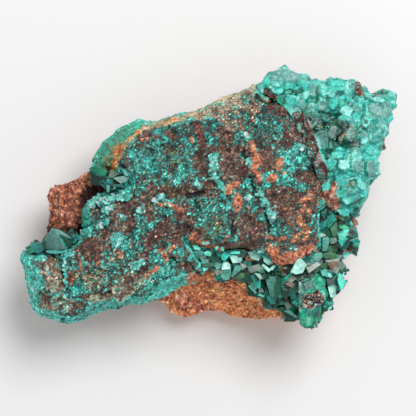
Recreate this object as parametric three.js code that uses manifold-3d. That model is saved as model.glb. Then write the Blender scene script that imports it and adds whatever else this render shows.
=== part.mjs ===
// A dioptase cluster: a broken slab of brown iron-oxide rock that carries a crust of green copper
// minerals. Dioptase crystals, short six-sided prisms with three-faced tips, are grown along the crust's
// right and front edges, at its left corner and in the notch above it. The piece lies on a flat broken face
// of the rock, with the crust on top. Millimetres, +Z up. The origin is on the resting face's level, under
// the middle of the whole piece.
import * as THREE from "three";
import Module from "manifold-3d";
import { ConvexGeometry } from "three/addons/geometries/ConvexGeometry.js";
import { ImprovedNoise } from "three/addons/math/ImprovedNoise.js";
import { TessellateModifier } from "three/addons/modifiers/TessellateModifier.js";
import { mergeVertices } from "three/addons/utils/BufferGeometryUtils.js";

const wasm = await Module();
wasm.setup();
const { clamp, degToRad, lerp, smoothstep } = THREE.MathUtils;

// ---- Driving dimensions --------------------------------------------------------------------------------

const SEAM_HEIGHT = 13.5; // where the crust and the crystals meet the rock, on the whole
const SEAM_WAVE = 1.3; // how far the seam wanders up and down
const FACE_HEIGHT = 23.5; // the crust's flat mottled face
const POCKET_HEIGHT = 17.6; // the floor of the crystal pocket along the front edge
const BLOCK_HEIGHT = 17.4; // the bare block of rock on the left
const LEDGE_DROP = 6.5; // how far the ledge of rock in front falls to its outer edge
const GAP = 0.4; // how far a piece is cut back from its neighbour, along the neighbour's vertex normals
const TIP_ANGLE = 51; // between a tip face of a dioptase crystal and the crystal's base
const ROOT_DEPTH = 1.2; // how deep a crystal starts below the mass that it stands on
const ROW_PITCH = 0.87; // between rows of crystals, against their spacing in a row, as in a close packing
const WELD = 1e-3; // vertices nearer than this are one
const MIDDLE = [0.4, 0.46]; // the middle of the whole piece seen from above, in the outlines' own frame

// The edge of the specimen's top seen from above, clockwise, in three stretches: from the front pocket
// round the left lobe to the top of the crystal band, down the outside of that band, and back along the
// pocket's front.
const LEFT_RIM = [
  [-0.1, -13.0], [-2.2, -14.7], [-5.5, -16.3], [-8.7, -18.1], [-10.5, -18.8], [-14.1, -19.3],
  [-17.4, -20.1], [-20.1, -21.0], [-22.8, -22.2], [-26.0, -22.8], [-28.0, -22.1], [-30.7, -21.0],
  [-31.9, -19.0], [-32.5, -16.6], [-33.0, -14.1], [-33.4, -11.6], [-33.2, -9.6], [-31.6, -8.4],
  [-29.8, -9.3], [-27.4, -9.6], [-25.3, -9.4], [-23.8, -7.3], [-22.9, -5.1], [-22.8, -2.6],
  [-21.7, -0.4], [-19.9, 1.2], [-18.8, 1.9], [-20.1, 2.8], [-20.8, 5.3], [-20.1, 7.6], [-18.8, 9.8],
  [-17.2, 12.0], [-15.6, 13.2], [-13.0, 13.9], [-10.5, 13.8], [-7.8, 14.5], [-4.8, 15.6], [-0.8, 16.5],
  [2.4, 18.3], [5.3, 19.0], [8.2, 20.3],
];
const RIGHT_RIM = [
  [10.7, 21.5], [13.4, 22.4], [16.1, 21.9], [19.2, 20.6], [22.2, 20.6], [25.5, 20.4], [27.6, 19.0],
  [30.9, 18.4], [32.9, 17.9], [32.7, 15.4], [31.6, 11.2], [30.5, 7.6], [29.8, 4.6], [28.3, 1.7],
  [26.9, -1.2], [25.8, -3.3],
];
const FRONT_RIM = [
  [25.7, -6.2], [24.8, -8.7], [23.5, -10.9], [23.0, -13.0], [23.5, -15.6], [22.4, -18.1],
  [20.4, -20.6], [17.9, -21.8], [15.8, -20.4], [12.9, -18.6], [9.6, -16.8], [7.5, -14.9], [5.3, -13.6],
  [2.4, -12.9],
];
// Where the flat face ends at the crystals: down the right band, then back along the front pocket.
const BAND_EDGE = [
  [9.4, 18.6], [11.7, 17.2], [14.0, 15.1], [15.8, 12.2], [17.2, 8.7], [18.6, 5.7], [19.6, 2.7],
  [20.7, 0.3], [22.8, -2.6],
];
const POCKET_EDGE = [
  [20.9, -1.3], [19.7, -2.6], [19.3, -5.4], [19.5, -8.3], [18.1, -10.4], [15.4, -11.6], [12.4, -11.5],
  [9.5, -10.4], [6.5, -9.0], [2.4, -9.3], [-0.6, -8.6], [-2.8, -7.6], [-4.7, -6.8], [-3.6, -9.3],
  [-1.9, -11.5],
];
const SPECIMEN = [...LEFT_RIM, ...RIGHT_RIM, ...FRONT_RIM];
const FACE = [...LEFT_RIM, ...BAND_EDGE.slice(0, -1), ...POCKET_EDGE];
const BAND = [...RIGHT_RIM, ...BAND_EDGE.toReversed(), LEFT_RIM.at(-1)];
const POCKET = [...POCKET_EDGE.toReversed(), BAND_EDGE.at(-1), RIGHT_RIM.at(-1), ...FRONT_RIM, LEFT_RIM[0]];
// A small open cavity in the band, and the recess in the crust above the notch.
const VUG = [[16.9, 14.0], [21.5, 13.7], [24.0, 12.3], [24.3, 10.2], [22.0, 8.6], [18.8, 8.8], [17.3, 10.9]];
const NOTCH = [[-19.6, 1.6], [-17.6, 4.6], [-13.9, 4.9], [-12.9, 2.6], [-14.6, 0.6], [-17.6, 0.3]];
// The rock at its widest level. It shows from above as the block on the left and the ledge in front.
const ROCK = [
  [-29.5, -2.8], [-29.4, -0.5], [-28.8, 1.3], [-26.6, 2.0], [-24.0, 3.0], [-21.2, 4.6], [-19.6, 6.2],
  [-16.5, 11.2], [-14.7, 12.5], [-10.7, 12.9], [-4.8, 14.6], [-0.6, 15.8], [2.8, 17.4], [9.0, 19.8],
  [13.0, 21.6], [16.5, 21.1], [22.1, 19.8], [26.1, 19.4], [31.4, 17.4], [31.9, 15.0], [30.8, 11.2],
  [29.6, 7.4], [28.9, 4.6], [27.4, 1.9], [25.9, -1.2], [24.9, -3.4], [24.9, -6.2], [23.6, -10.5],
  [22.3, -13.2], [22.6, -15.8], [21.2, -18.7], [18.9, -21.4], [16.7, -22.7], [13.9, -22.9],
  [10.5, -23.1], [7.6, -23.1], [4.8, -22.6], [2.1, -21.5], [-0.6, -21.5], [-2.5, -22.2], [-4.8, -22.4],
  [-6.6, -21.2], [-8.3, -19.4], [-9.7, -17.8], [-14.3, -17.9], [-20.5, -19.3], [-26.7, -21.0],
  [-29.9, -19.3], [-31.0, -17.3], [-31.5, -15.0], [-31.8, -11.7], [-30.4, -10.2], [-28.8, -9.6],
  [-28.6, -7.4], [-29.5, -5.2],
];
const BLOCK = [
  [-32, -2.8], [-31, 4], [-25, 5.4], [-20.5, 7], [-19.8, 3], [-22.4, -1], [-23.4, -4.6], [-24.6, -7],
  [-31, -7],
];
const LEDGE = [[-12, -19], [-5.5, -13.6], [0, -11], [8, -11], [16, -17], [22, -25], [-12, -25]];
// The flat fractures under the rock: the compass angle each faces, the distance of its foot from the middle,
// and how far it leans out from upright.
const FRACTURES = [
  [4, 26, 34], [38, 29, 30], [62, 21, 38], [92, 15, 24], [118, 12, 36], [148, 18.5, 30], [183, 25, 36],
  [214, 28, 34], [246, 25, 30], [272, 19, 24], [298, 21.5, 32], [327, 21, 36],
];

// ---- Plan and height helpers ---------------------------------------------------------------------------

/** Distance from a point to a polygon's edge, positive inside it. */
function inside(polygon, x, y) {
  let nearest = Infinity;
  let within = false;
  polygon.forEach(([ax, ay], i) => {
    const [bx, by] = polygon[(i + 1) % polygon.length];
    const along = ((x - ax) * (bx - ax) + (y - ay) * (by - ay)) / ((bx - ax) ** 2 + (by - ay) ** 2);
    const t = clamp(along, 0, 1);
    nearest = Math.min(nearest, Math.hypot(x - lerp(ax, bx, t), y - lerp(ay, by, t)));
    if (ay > y !== by > y && x < ((bx - ax) * (y - ay)) / (by - ay) + ax) within = !within;
  });
  return within ? nearest : -nearest;
}

/** A smooth bump of height 1 at (cx, cy), about `radius` wide. */
const bump = (x, y, cx, cy, radius) => Math.exp(-(((x - cx) ** 2 + (y - cy) ** 2) / radius ** 2));

const perlin = new ImprovedNoise();
/** Smooth noise of about -1 to 1 whose lumps are `size` across. */
const lumps = (x, y, z, size) => perlin.noise(x / size + 31.7, y / size + 17.3, z / size + 5.9) * 1.6;

/** Repeatable random numbers from 0 to 1. */
function randomFrom(seed) {
  let state = seed;
  return () => {
    state = (state * 1664525 + 1013904223) % 4294967296;
    return state / 4294967296;
  };
}

/** The fall of a rounded edge `width` wide and `drop` deep, at a distance `edge` inside the outline. */
const rounding = (edge, width, drop) => drop * (1 - Math.sqrt(smoothstep(edge, 0, width)));

/** Height of the mottled crust. */
function crustTop(x, y) {
  const edge = inside(SPECIMEN, x, y);
  const bank = smoothstep(y - 0.45 * x, 7.5, 10) * smoothstep(-x, -12, -6); // the green bank, upper left
  const bankWidth = lerp(4.6, 1.4, smoothstep(x, -15, 4));
  const leftLobe = smoothstep(-x, 2, 8);
  const beyondCrease = 0.39 * (x + 24) - 0.92 * (y + 17); // in front of the crease across the left lobe
  let z = FACE_HEIGHT + 0.03 * x + 0.03 * y;
  z -= 1.6 * smoothstep(-x, 8, 26);
  z -= leftLobe * (0.9 * Math.exp(-((beyondCrease / 1.3) ** 2)) + 0.34 * Math.max(0, beyondCrease));
  z -= 0.8 * bump(x, y, -0.5, -1, 2.2);
  z -= 3.4 * smoothstep(inside(NOTCH, x, y), -0.4, 1.2);
  z -= rounding(edge, lerp(1.9, bankWidth, bank), lerp(3.6, 7.5, bank));
  z -= rounding(inside(FACE, x, y), 1.4, 0.8);
  return z;
}

/** Height of the mass that the right band's crystals stand on. */
function bandTop(x, y) {
  const edge = inside(SPECIMEN, x, y);
  const vug = 3.6 * smoothstep(inside(VUG, x, y), -0.6, 1.8);
  return FACE_HEIGHT - 0.4 + 0.03 * x - rounding(edge, 5.5, 6.5) - vug;
}

/** Height of the mass that the front pocket's crystals stand on, with the knob at its right-hand corner. */
function pocketTop(x, y) {
  const bank = 3.4 * (1 - smoothstep(-inside(FACE, x, y), 0, 6));
  const knob = 3.8 * bump(x, y, 19.4, -17.2, 3.6) + 1.2 * bump(x, y, 24.0, -6.0, 3.0);
  return POCKET_HEIGHT + bank + knob - rounding(inside(SPECIMEN, x, y), 3.2, 3.0);
}

/** Height of the seam between the rock and what grows on it. */
const seam = (x, y) => SEAM_HEIGHT + SEAM_WAVE * lumps(x, y, 0, 12);

/** Height of the rock: the seam, with the block on the left and the ledge in front. */
function rockTop(x, y) {
  const edge = inside(ROCK, x, y);
  const block = smoothstep(inside(BLOCK, x, y), -0.6, 0.8);
  const ledge = smoothstep(inside(LEDGE, x, y), -0.5, 1.5);
  const blockTop = BLOCK_HEIGHT - 0.25 * Math.max(0, x + 26) - rounding(edge, 1.6, 2);
  return lerp(seam(x, y), blockTop, block) - ledge * LEDGE_DROP * (1 - smoothstep(edge, 0, 7));
}

// ---- Solids --------------------------------------------------------------------------------------------

/** A three.js geometry as a manifold solid. */
function solid(geometry) {
  const bare = geometry.clone();
  for (const name of ["normal", "uv"]) bare.deleteAttribute(name);
  const merged = mergeVertices(bare, WELD);
  const vertProperties = Float32Array.from(merged.attributes.position.array);
  const triVerts = new Uint32Array(merged.index.array);
  return new wasm.Manifold(new wasm.Mesh({ numProp: 3, vertProperties, triVerts }));
}

/** A manifold solid as a three.js geometry. */
function geometryOf(made) {
  const { numProp, numVert, vertProperties, triVerts } = made.getMesh();
  const points = new Float32Array(numVert * 3);
  for (let i = 0; i < numVert; i++) points.set(vertProperties.subarray(i * numProp, i * numProp + 3), i * 3);
  const geometry = new THREE.BufferGeometry();
  geometry.setAttribute("position", new THREE.BufferAttribute(points, 3));
  geometry.setIndex(new THREE.BufferAttribute(new Uint32Array(triVerts), 1));
  return geometry;
}

/** The solid, pushed out along its vertex normals. */
function grown(made, by) {
  const geometry = geometryOf(made);
  geometry.computeVertexNormals();
  const { position, normal } = geometry.attributes;
  for (let i = 0; i < position.count; i++) {
    const point = new THREE.Vector3().fromBufferAttribute(position, i);
    point.addScaledVector(new THREE.Vector3().fromBufferAttribute(normal, i), by);
    position.setXYZ(i, point.x, point.y, point.z);
  }
  return solid(geometry);
}

/** The largest single body of a solid, with its sealed hollows filled. */
function mainBody(made) {
  const bodies = solid(geometryOf(made)).decompose();
  return bodies.reduce((best, body) => (body.volume() > best.volume() ? body : best));
}

/** The union of several solids, cut back from its neighbours so that a gap of about GAP is left. */
function fitted(solids, neighbours) {
  const whole = solids.reduce((sum, next) => sum.add(next));
  const cutters = neighbours.flatMap((made) => [made, grown(made, GAP)]);
  return mainBody(cutters.reduce((left, cutter) => left.subtract(cutter), whole));
}

/**
 * A slab with a plan outline, its faces broken into triangles of at most `edge`. `bottom` and `top` are
 * heights over the plan, and `relief` is how far noise moves its surface. Its sides draw in unevenly below
 * the level `flush`, where 0 is the bottom and 1 the top.
 */
function slab({ outline, edge, rows, bottom, top, relief, flush = 1 }) {
  const shape = new THREE.Shape(outline.map(([x, y]) => new THREE.Vector2(x, y)));
  const block = new THREE.ExtrudeGeometry(shape, { depth: 1, steps: rows, bevelEnabled: false });
  const geometry = new TessellateModifier(edge, 16).modify(block);
  const { position } = geometry.attributes;
  for (let i = 0; i < position.count; i++) {
    const [x, y, level] = [position.getX(i), position.getY(i), position.getZ(i)];
    const z = lerp(bottom(x, y), top(x, y), level);
    const wide = 1 - 0.05 * Math.max(0, flush - level) * (0.6 + lumps(x, y, z, 9));
    const shift = (seed) => relief * (lumps(x + seed, y, z, 4.1) + 0.5 * lumps(x, y + seed, z, 1.7));
    position.setXYZ(i, x * wide + shift(11), y * wide + shift(47), z + 0.8 * shift(83) * level);
  }
  return solid(geometry);
}

// ---- Crystals ------------------------------------------------------------------------------------------

/** One dioptase crystal on its root at the origin: a six-sided prism with three rhombic tip faces. */
function crystal(width, length) {
  const radius = width / 2;
  const slope = Math.tan(degToRad(TIP_ANGLE));
  const points = [new THREE.Vector3(0, 0, length)];
  for (let k = 0; k < 6; k++) {
    const turn = degToRad(60 * k);
    const fall = (k % 2 ? 0.5 : 1) * slope * radius;
    const [x, y] = [radius * Math.cos(turn), radius * Math.sin(turn)];
    points.push(new THREE.Vector3(x, y, Math.max(length - fall, 0.1)), new THREE.Vector3(x, y, 0));
  }
  return new ConvexGeometry(points);
}

/** A crystal rooted at a point, its axis along a direction, turned about it by `spin` degrees. */
function planted(root, axis, width, length, spin) {
  const upright = new THREE.Vector3(0, 0, 1);
  const direction = new THREE.Vector3(...axis).normalize();
  const geometry = crystal(width, length);
  geometry.rotateZ(degToRad(spin));
  geometry.applyQuaternion(new THREE.Quaternion().setFromUnitVectors(upright, direction));
  geometry.translate(...root);
  return solid(geometry);
}

/** The rise of a height function per millimetre along X and along Y. */
function slopes(height, x, y) {
  const step = 0.4;
  return [
    (height(x + step, y) - height(x - step, y)) / (2 * step),
    (height(x, y + step) - height(x, y - step)) / (2 * step),
  ];
}

/**
 * Crystals over a plan outline, at least `margin` inside it, rooted in the surface `height` and leaning up
 * to `lean` degrees from its normal.
 */
function carpet(outline, height, { spacing, margin, widths, lengths, lean, seed }) {
  const random = randomFrom(seed);
  const made = [];
  const [xs, ys] = [outline.map(([x]) => x), outline.map(([, y]) => y)];
  for (let rowY = Math.min(...ys); rowY < Math.max(...ys); rowY += spacing * ROW_PITCH) {
    for (let rowX = Math.min(...xs); rowX < Math.max(...xs); rowX += spacing) {
      const x = rowX + spacing * (random() - 0.5) * 0.9;
      const y = rowY + spacing * (random() - 0.5) * 0.9;
      const [wide, long, tilt, turn, spin] = [random(), random(), random(), random(), random()];
      if (inside(outline, x, y) < margin) continue;
      const [slopeX, slopeY] = slopes(height, x, y);
      const sideways = Math.tan(degToRad(lean) * tilt);
      const [alongX, alongY] = [Math.cos(2 * Math.PI * turn), Math.sin(2 * Math.PI * turn)];
      const axis = [sideways * alongX - slopeX, sideways * alongY - slopeY, 1];
      const root = [x, y, height(x, y) - ROOT_DEPTH];
      made.push(planted(root, axis, lerp(...widths, wide), lerp(...lengths, long), spin * 60));
    }
  }
  return made;
}

/** Rows of crystals that stick out of a rim's side wall, rooted `inset` inside it at each height. */
function fringe(rim, heights, { spacing, widths, lengths, inset, seed }) {
  const random = randomFrom(seed);
  const path = new THREE.CatmullRomCurve3(rim.map(([x, y]) => new THREE.Vector3(x, y, 0)));
  const count = Math.round(path.getLength() / spacing);
  return heights.flatMap((z, row) =>
    Array.from({ length: count }, (_, i) => {
      const u = clamp((i + 0.5 * (row % 2) + 0.4 * random()) / count, 0, 1);
      const [at, along] = [path.getPointAt(u), path.getTangentAt(u)];
      const out = new THREE.Vector3(-along.y, along.x, 0); // left of travel, as the rims run clockwise
      const root = at.addScaledVector(out, -inset).setZ(z + random() - 0.5);
      const [swayX, swayY] = [0.6 * (random() - 0.5), 0.6 * (random() - 0.5)];
      const axis = [out.x + swayX, out.y + swayY, 0.1 + 0.9 * random()];
      const [width, length] = [lerp(...widths, random()), lerp(...lengths, random())];
      return planted(root.toArray(), axis, width, length, 60 * random());
    }),
  );
}

// ---- The rock ------------------------------------------------------------------------------------------

/** All the space beyond one of the rock's fractures. */
function beyondFracture([facing, foot, lean]) {
  const space = new THREE.BoxGeometry(60, 160, 120).translate(30, 0, 0);
  space.rotateY(degToRad(lean)).translate(foot, 0, 0).rotateZ(degToRad(facing));
  return solid(space);
}
const belowFloor = solid(new THREE.BoxGeometry(90, 90, 20).translate(0, 0, -10));
const rock = mainBody(
  [belowFloor, ...FRACTURES.map(beyondFracture)].reduce(
    (left, cutter) => left.subtract(cutter),
    slab({ outline: ROCK, edge: 4.2, rows: 3, bottom: () => -1, top: rockTop, relief: 0.7, flush: 1.6 }),
  ),
);

// ---- The crust -----------------------------------------------------------------------------------------

/** The underside of all that grows on the rock, before it is cut back from it. */
const underside = (x, y) => seam(x, y) - 0.4;
const crust = fitted(
  [slab({ outline: FACE, edge: 3.8, rows: 2, bottom: underside, top: crustTop, relief: 0.4 })],
  [rock],
);

// ---- The crystals --------------------------------------------------------------------------------------

const bandCrystals = { spacing: 3.9, margin: 1, widths: [3, 4.4], lengths: [3, 4.2], lean: 34, seed: 7 };
const bandSideCrystals = { spacing: 5.2, widths: [3.4, 4.8], lengths: [3.2, 4], inset: 2.2, seed: 5 };
const rightDruse = fitted(
  [
    slab({ outline: BAND, edge: 6, rows: 1, bottom: underside, top: bandTop, relief: 0.4 }),
    ...carpet(BAND, bandTop, bandCrystals),
    ...fringe(RIGHT_RIM, [19.4, 15.8], bandSideCrystals),
  ],
  [crust, rock],
);

const pocketCrystals = { spacing: 3.3, margin: 0.6, widths: [2.4, 3.4], lengths: [3, 4.6], lean: 34, seed: 4 };
const pocketSideCrystals = { spacing: 4.4, widths: [2.8, 4], lengths: [3, 3.8], inset: 2.2, seed: 9 };
const frontDruse = fitted(
  [
    slab({ outline: POCKET, edge: 5, rows: 1, bottom: underside, top: pocketTop, relief: 0.4 }),
    ...carpet(POCKET, pocketTop, pocketCrystals),
    ...fringe(FRONT_RIM, [15.8], pocketSideCrystals),
  ],
  [rightDruse, crust, rock],
);

const cornerCrystals = fitted(
  [
    planted([-27.4, -9.4, 14.4], [-0.12, 0.3, 1], 4.8, 7.0, 10),
    planted([-25.6, -8.6, 13.6], [0.28, 0.3, 1], 3.2, 6.6, 40),
    planted([-29.6, -9.2, 14.0], [-0.4, 0.25, 1], 3.0, 5.6, 20),
  ],
  [crust, rock],
);

const notchCrystals = fitted(
  [
    planted([-16.4, 2.5, 17.2], [-0.35, 0.1, 1], 3.8, 5.4, 10),
    planted([-14.6, 3.0, 17.4], [0.25, 0.35, 1], 3.2, 5.0, 35),
    planted([-16.0, 1.6, 17.4], [0.1, -0.4, 1], 2.4, 4.8, 50),
    planted([-18.6, 3.2, 17.0], [-0.6, 0.5, 1], 2.6, 4.6, 25),
  ],
  [crust, rock],
);

// ---- The whole -----------------------------------------------------------------------------------------

const part = new THREE.Group();
/** Adds one named piece with its own material. */
function addPiece(name, made, color, roughness) {
  const material = new THREE.MeshStandardMaterial({ color, roughness, metalness: 0, flatShading: true });
  const mesh = new THREE.Mesh(geometryOf(made), material);
  mesh.name = name;
  part.add(mesh);
}
addPiece("matrix_rock", rock, 0x8a5034, 0.95);
addPiece("mineral_crust", crust, 0x3f7d72, 0.85);
addPiece("right_druse", rightDruse, 0x35b597, 0.3);
addPiece("front_druse", frontDruse, 0x1f7f69, 0.25);
addPiece("corner_crystals", cornerCrystals, 0x4fa28d, 0.2);
addPiece("notch_crystals", notchCrystals, 0x1f6f5c, 0.2);
part.position.set(-MIDDLE[0], -MIDDLE[1], 0);

export default part;
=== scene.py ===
import math

import bmesh
import bpy
import numpy as np
from mathutils import Matrix, Vector
from mathutils.bvhtree import BVHTree


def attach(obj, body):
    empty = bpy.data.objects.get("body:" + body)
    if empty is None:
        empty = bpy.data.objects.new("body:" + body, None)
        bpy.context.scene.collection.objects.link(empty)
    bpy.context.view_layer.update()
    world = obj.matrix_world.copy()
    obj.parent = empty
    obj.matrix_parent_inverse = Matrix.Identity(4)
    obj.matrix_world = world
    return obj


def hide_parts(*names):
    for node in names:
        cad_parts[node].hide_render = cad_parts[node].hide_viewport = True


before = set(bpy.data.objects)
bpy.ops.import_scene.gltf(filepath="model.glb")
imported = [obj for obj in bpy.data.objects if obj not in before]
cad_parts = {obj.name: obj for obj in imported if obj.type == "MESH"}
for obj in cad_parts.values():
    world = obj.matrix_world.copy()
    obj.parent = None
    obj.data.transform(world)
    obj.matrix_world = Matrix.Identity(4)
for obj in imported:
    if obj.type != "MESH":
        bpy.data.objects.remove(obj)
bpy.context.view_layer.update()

scene = bpy.context.scene
MM = 0.001

# ---- The picture's frame -------------------------------------------------------------------------------
# The camera looks straight down. Places on the specimen are given as pixels of the 416 x 416 picture.

LENS = 200.0
SENSOR = 36.0
PICTURE = 416
PLANE = 15.0  # mm above the floor, where one pixel is MM_PER_PIXEL wide
MM_PER_PIXEL = 0.18
CAMERA_RISE = PICTURE * MM_PER_PIXEL * LENS / SENSOR  # mm above PLANE
CAMERA_AT = (-0.49, -2.35)  # mm


def pixel_width(height):
    """How wide one pixel is in mm, at a height in mm."""
    return MM_PER_PIXEL * (1 - (height - PLANE) / CAMERA_RISE)


def pixels(points):
    """Where points in mm show in the picture, as an array of u and v."""
    scale = pixel_width(points[:, 2])
    u = PICTURE / 2 + (points[:, 0] - CAMERA_AT[0]) / scale
    v = PICTURE / 2 - (points[:, 1] - CAMERA_AT[1]) / scale
    return np.stack([u, v], 1)


def place_at(u, v, height):
    """The place in mm that shows at a pixel and lies at a height."""
    scale = pixel_width(height)
    x = CAMERA_AT[0] + (u - PICTURE / 2) * scale
    y = CAMERA_AT[1] - (v - PICTURE / 2) * scale
    return np.array([x, y, height])


def first_hit(tree, spot):
    """The place in mm where the line of sight through a pixel meets a surface, or None."""
    eye = Vector((*CAMERA_AT, PLANE + CAMERA_RISE))
    across = (spot[0] - PICTURE / 2) * MM_PER_PIXEL
    down = (spot[1] - PICTURE / 2) * MM_PER_PIXEL
    return tree.ray_cast(eye, Vector((across, -down, -CAMERA_RISE)).normalized())[0]


# ---- Colours -------------------------------------------------------------------------------------------

# In the order of a walk from bare rock to the palest crystal, so that neighbours in the list blend well.
SRGB = {
    "black": (20, 20, 22), "maroon": (96, 50, 46), "dark_brown": (68, 42, 33), "brown": (110, 75, 60),
    "grey_brown": (138, 110, 95), "rust": (172, 100, 72), "orange": (198, 118, 82),
    "bright_orange": (230, 164, 112), "amber": (218, 136, 56), "pink": (222, 170, 150),
    "cream": (226, 212, 170), "tan": (170, 158, 128), "olive": (140, 140, 84), "moss": (84, 130, 98),
    "grey": (140, 148, 142), "deep_green": (8, 60, 50), "sea": (16, 104, 97), "teal": (42, 152, 143),
    "grey_teal": (100, 162, 153), "emerald": (36, 172, 134), "turquoise": (66, 206, 191),
    "mint": (126, 226, 211), "ice": (190, 230, 224), "bottle": (4, 92, 68),
}


def linear(rgb):
    """An sRGB colour of 0 to 255 as linear light."""
    c = np.array(rgb, float) / 255
    return np.where(c <= 0.04045, c / 12.92, ((c + 0.055) / 1.055) ** 2.4)


COLOURS = {name: linear(rgb) for name, rgb in SRGB.items()}
NAMES = list(COLOURS)
PALETTE = np.array([COLOURS[name] for name in NAMES])


def mix(**shares):
    """Shares of the named colours as one row that sums to 1."""
    row = np.array([shares.get(name, 0.0) for name in NAMES])
    return row / row.sum()


MIXES = {
    "mottled": mix(
        black=10, maroon=5, dark_brown=13, brown=13, grey_brown=4, rust=1, pink=1, moss=6, deep_green=9,
        sea=12, teal=15, turquoise=9, mint=2
    ),
    "brown": mix(
        black=9, maroon=13, dark_brown=23, brown=27, grey_brown=13, rust=5, pink=2, moss=3, deep_green=2,
        teal=3
    ),
    "smooth_brown": mix(black=4, maroon=6, dark_brown=24, brown=44, grey_brown=17, moss=3, rust=2),
    "maroon": mix(
        black=10, maroon=42, dark_brown=18, brown=15, grey_brown=3, rust=6, pink=1, sea=2, teal=2
    ),
    "teal": mix(
        black=11, maroon=2, dark_brown=6, brown=4, moss=4, deep_green=10, sea=14, teal=21, turquoise=22,
        mint=7
    ),
    "deep": mix(black=14, maroon=3, dark_brown=6, brown=4, deep_green=16, sea=24, teal=22, turquoise=11),
    "cyan": mix(black=7, dark_brown=4, deep_green=6, sea=13, teal=18, grey_teal=16, turquoise=26, mint=10),
    "pale": mix(sea=5, teal=9, grey_teal=10, turquoise=22, mint=32, ice=22),
    "orange": mix(maroon=6, brown=3, rust=36, orange=42, bright_orange=9, pink=4),
    "gold": mix(dark_brown=10, brown=12, rust=14, orange=26, bright_orange=28, cream=8, teal=2),
    "tan": mix(
        dark_brown=4, brown=9, grey_brown=12, tan=26, cream=5, olive=8, teal=13, grey_teal=13, mint=10
    ),
    "pale_brown": mix(
        maroon=7, dark_brown=5, brown=22, grey_brown=36, tan=9, pink=8, rust=3, teal=7, mint=3
    ),
    "red": mix(maroon=26, brown=16, rust=40, orange=10, moss=8),
    "beige": mix(black=4, maroon=6, brown=16, grey_brown=24, pink=12, cream=9, tan=18, teal=6, grey_teal=5),
    "moss": mix(black=5, dark_brown=12, brown=14, rust=3, olive=8, moss=32, sea=12, teal=14),
    "bank": mix(olive=7, moss=16, bottle=8, sea=7, teal=12, emerald=40, turquoise=4, mint=6),
    "lime": mix(amber=10, olive=34, moss=26, emerald=22, tan=8),
    "bank_edge": mix(teal=10, emerald=40, turquoise=28, mint=22),
    # The mixes of rims and walls are pale, partly their own colour and partly painted light.
    "rim": mix(sea=3, teal=14, grey_teal=8, emerald=8, turquoise=38, mint=25, ice=4),
    "wall": mix(sea=3, teal=18, grey_teal=16, emerald=8, turquoise=30, mint=22, ice=3),
    # Black and deep green painted into holes and gaps as their shade.
    "hole_shade": mix(black=50, deep_green=40, sea=10),
    "line": mix(rust=8, orange=12, bright_orange=14, amber=8, cream=12, tan=26, olive=14, moss=6),
    "straw": mix(cream=26, tan=30, olive=16, moss=14, mint=10, bright_orange=4),
    "frosted": mix(black=17, deep_green=8, teal=12, turquoise=15, mint=28, ice=20),
    "blood": mix(black=8, maroon=62, dark_brown=12, rust=18),
    "flame": mix(rust=16, orange=12, amber=56, bright_orange=8, olive=8),
    "rust_block": mix(maroon=22, brown=5, rust=42, orange=15, bright_orange=2, pink=14),
    # The block's colour in painted shade.
    "block_painted_shade": mix(black=18, maroon=50, dark_brown=24, brown=6, rust=2),
    "sand": mix(brown=3, rust=20, orange=38, bright_orange=28, amber=7, cream=4),
    "red_sand": mix(maroon=10, brown=6, rust=38, orange=30, bright_orange=6, pink=10),
    "iron": mix(black=8, maroon=16, dark_brown=28, brown=26, rust=16, orange=4, tan=2),
    "band": mix(sea=8, teal=22, grey_teal=22, emerald=5, turquoise=30, mint=13),
    "pocket": mix(black=5, deep_green=25, bottle=24, sea=16, teal=16, grey_teal=10, mint=4),
    # Dark green and grey, painted on the band as shade.
    "vug": mix(black=12, deep_green=30, moss=26, sea=22, grey=10),
    "knob": mix(bottle=10, sea=30, teal=24, emerald=22, grey_teal=14),
    "ring": mix(teal=20, grey_teal=44, mint=24, ice=12),
    "ball": mix(sea=46, teal=20, emerald=34),
    "speckle": mix(black=22, maroon=22, rust=8, pink=18, deep_green=8, teal=8, ice=14),
    "gem": mix(deep_green=24, sea=30, emerald=46),
    "flesh": mix(maroon=9, brown=6, rust=30, orange=31, pink=22, cream=2),
    "frost": mix(turquoise=20, mint=50, ice=30),
}


def laid_over(below, above, share):
    """Values with others laid over them, by a share from 0 to 1."""
    return below + share * (above - below)


def blend_of(coats, count):
    """The colour shares at each of `count` points, from (mix, share) coats laid one over another."""
    weights = np.tile(MIXES["mottled"], (count, 1))
    for name, share in coats:
        weights = laid_over(weights, MIXES[name], share[:, None])
    return weights


def chosen_colours(weights, walk):
    """The number of the colour that each point takes along `walk`, from its own shares or from one mix."""
    steps = np.cumsum(np.atleast_2d(weights), axis=1)
    return (walk[:, None] > steps).sum(axis=1).clip(max=len(NAMES) - 1)


def coloured(weights, walk):
    """The colour that each point takes along `walk`."""
    return PALETTE[chosen_colours(weights, walk)]


# ---- Noise ---------------------------------------------------------------------------------------------


class Noise:
    """Smooth repeatable noise in space, about -1 to 1."""

    def __init__(self, seed):
        draw = np.random.default_rng(seed)
        self.order = np.tile(draw.permutation(256), 3)
        arrows = draw.normal(size=(256, 3))
        self.arrows = 1.8 * arrows / np.linalg.norm(arrows, axis=1, keepdims=True)

    def __call__(self, points, size):
        place = points / size
        cell = np.floor(place).astype(np.int64)
        part = place - cell
        ease = part**3 * (part * (part * 6 - 15) + 10)
        total = np.zeros(len(points))
        for corner in np.ndindex(2, 2, 2):
            x, y, z = ((cell + corner) & 255).T
            arrow = self.arrows[self.order[self.order[self.order[x] + y] + z]]
            weight = np.prod(np.where(corner, ease, 1 - ease), axis=1)
            total += weight * np.einsum("ij,ij->i", arrow, part - corner)
        return total

    def rough(self, points, size, octaves, fade=0.5):
        """Several sizes of lump at once, each half as wide as the one before it."""
        return sum(fade**k * self(points + 13.7 * k, size / 2**k) for k in range(octaves))


grain_noise, patch_noise, relief_noise = Noise(3), Noise(8), Noise(21)
CELL_PRIMES = np.array([73856093, 19349663, 83492791])
CELL_FACTORS = (40503, 30011, 51787)
CELL_PRIME = 65521


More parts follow.
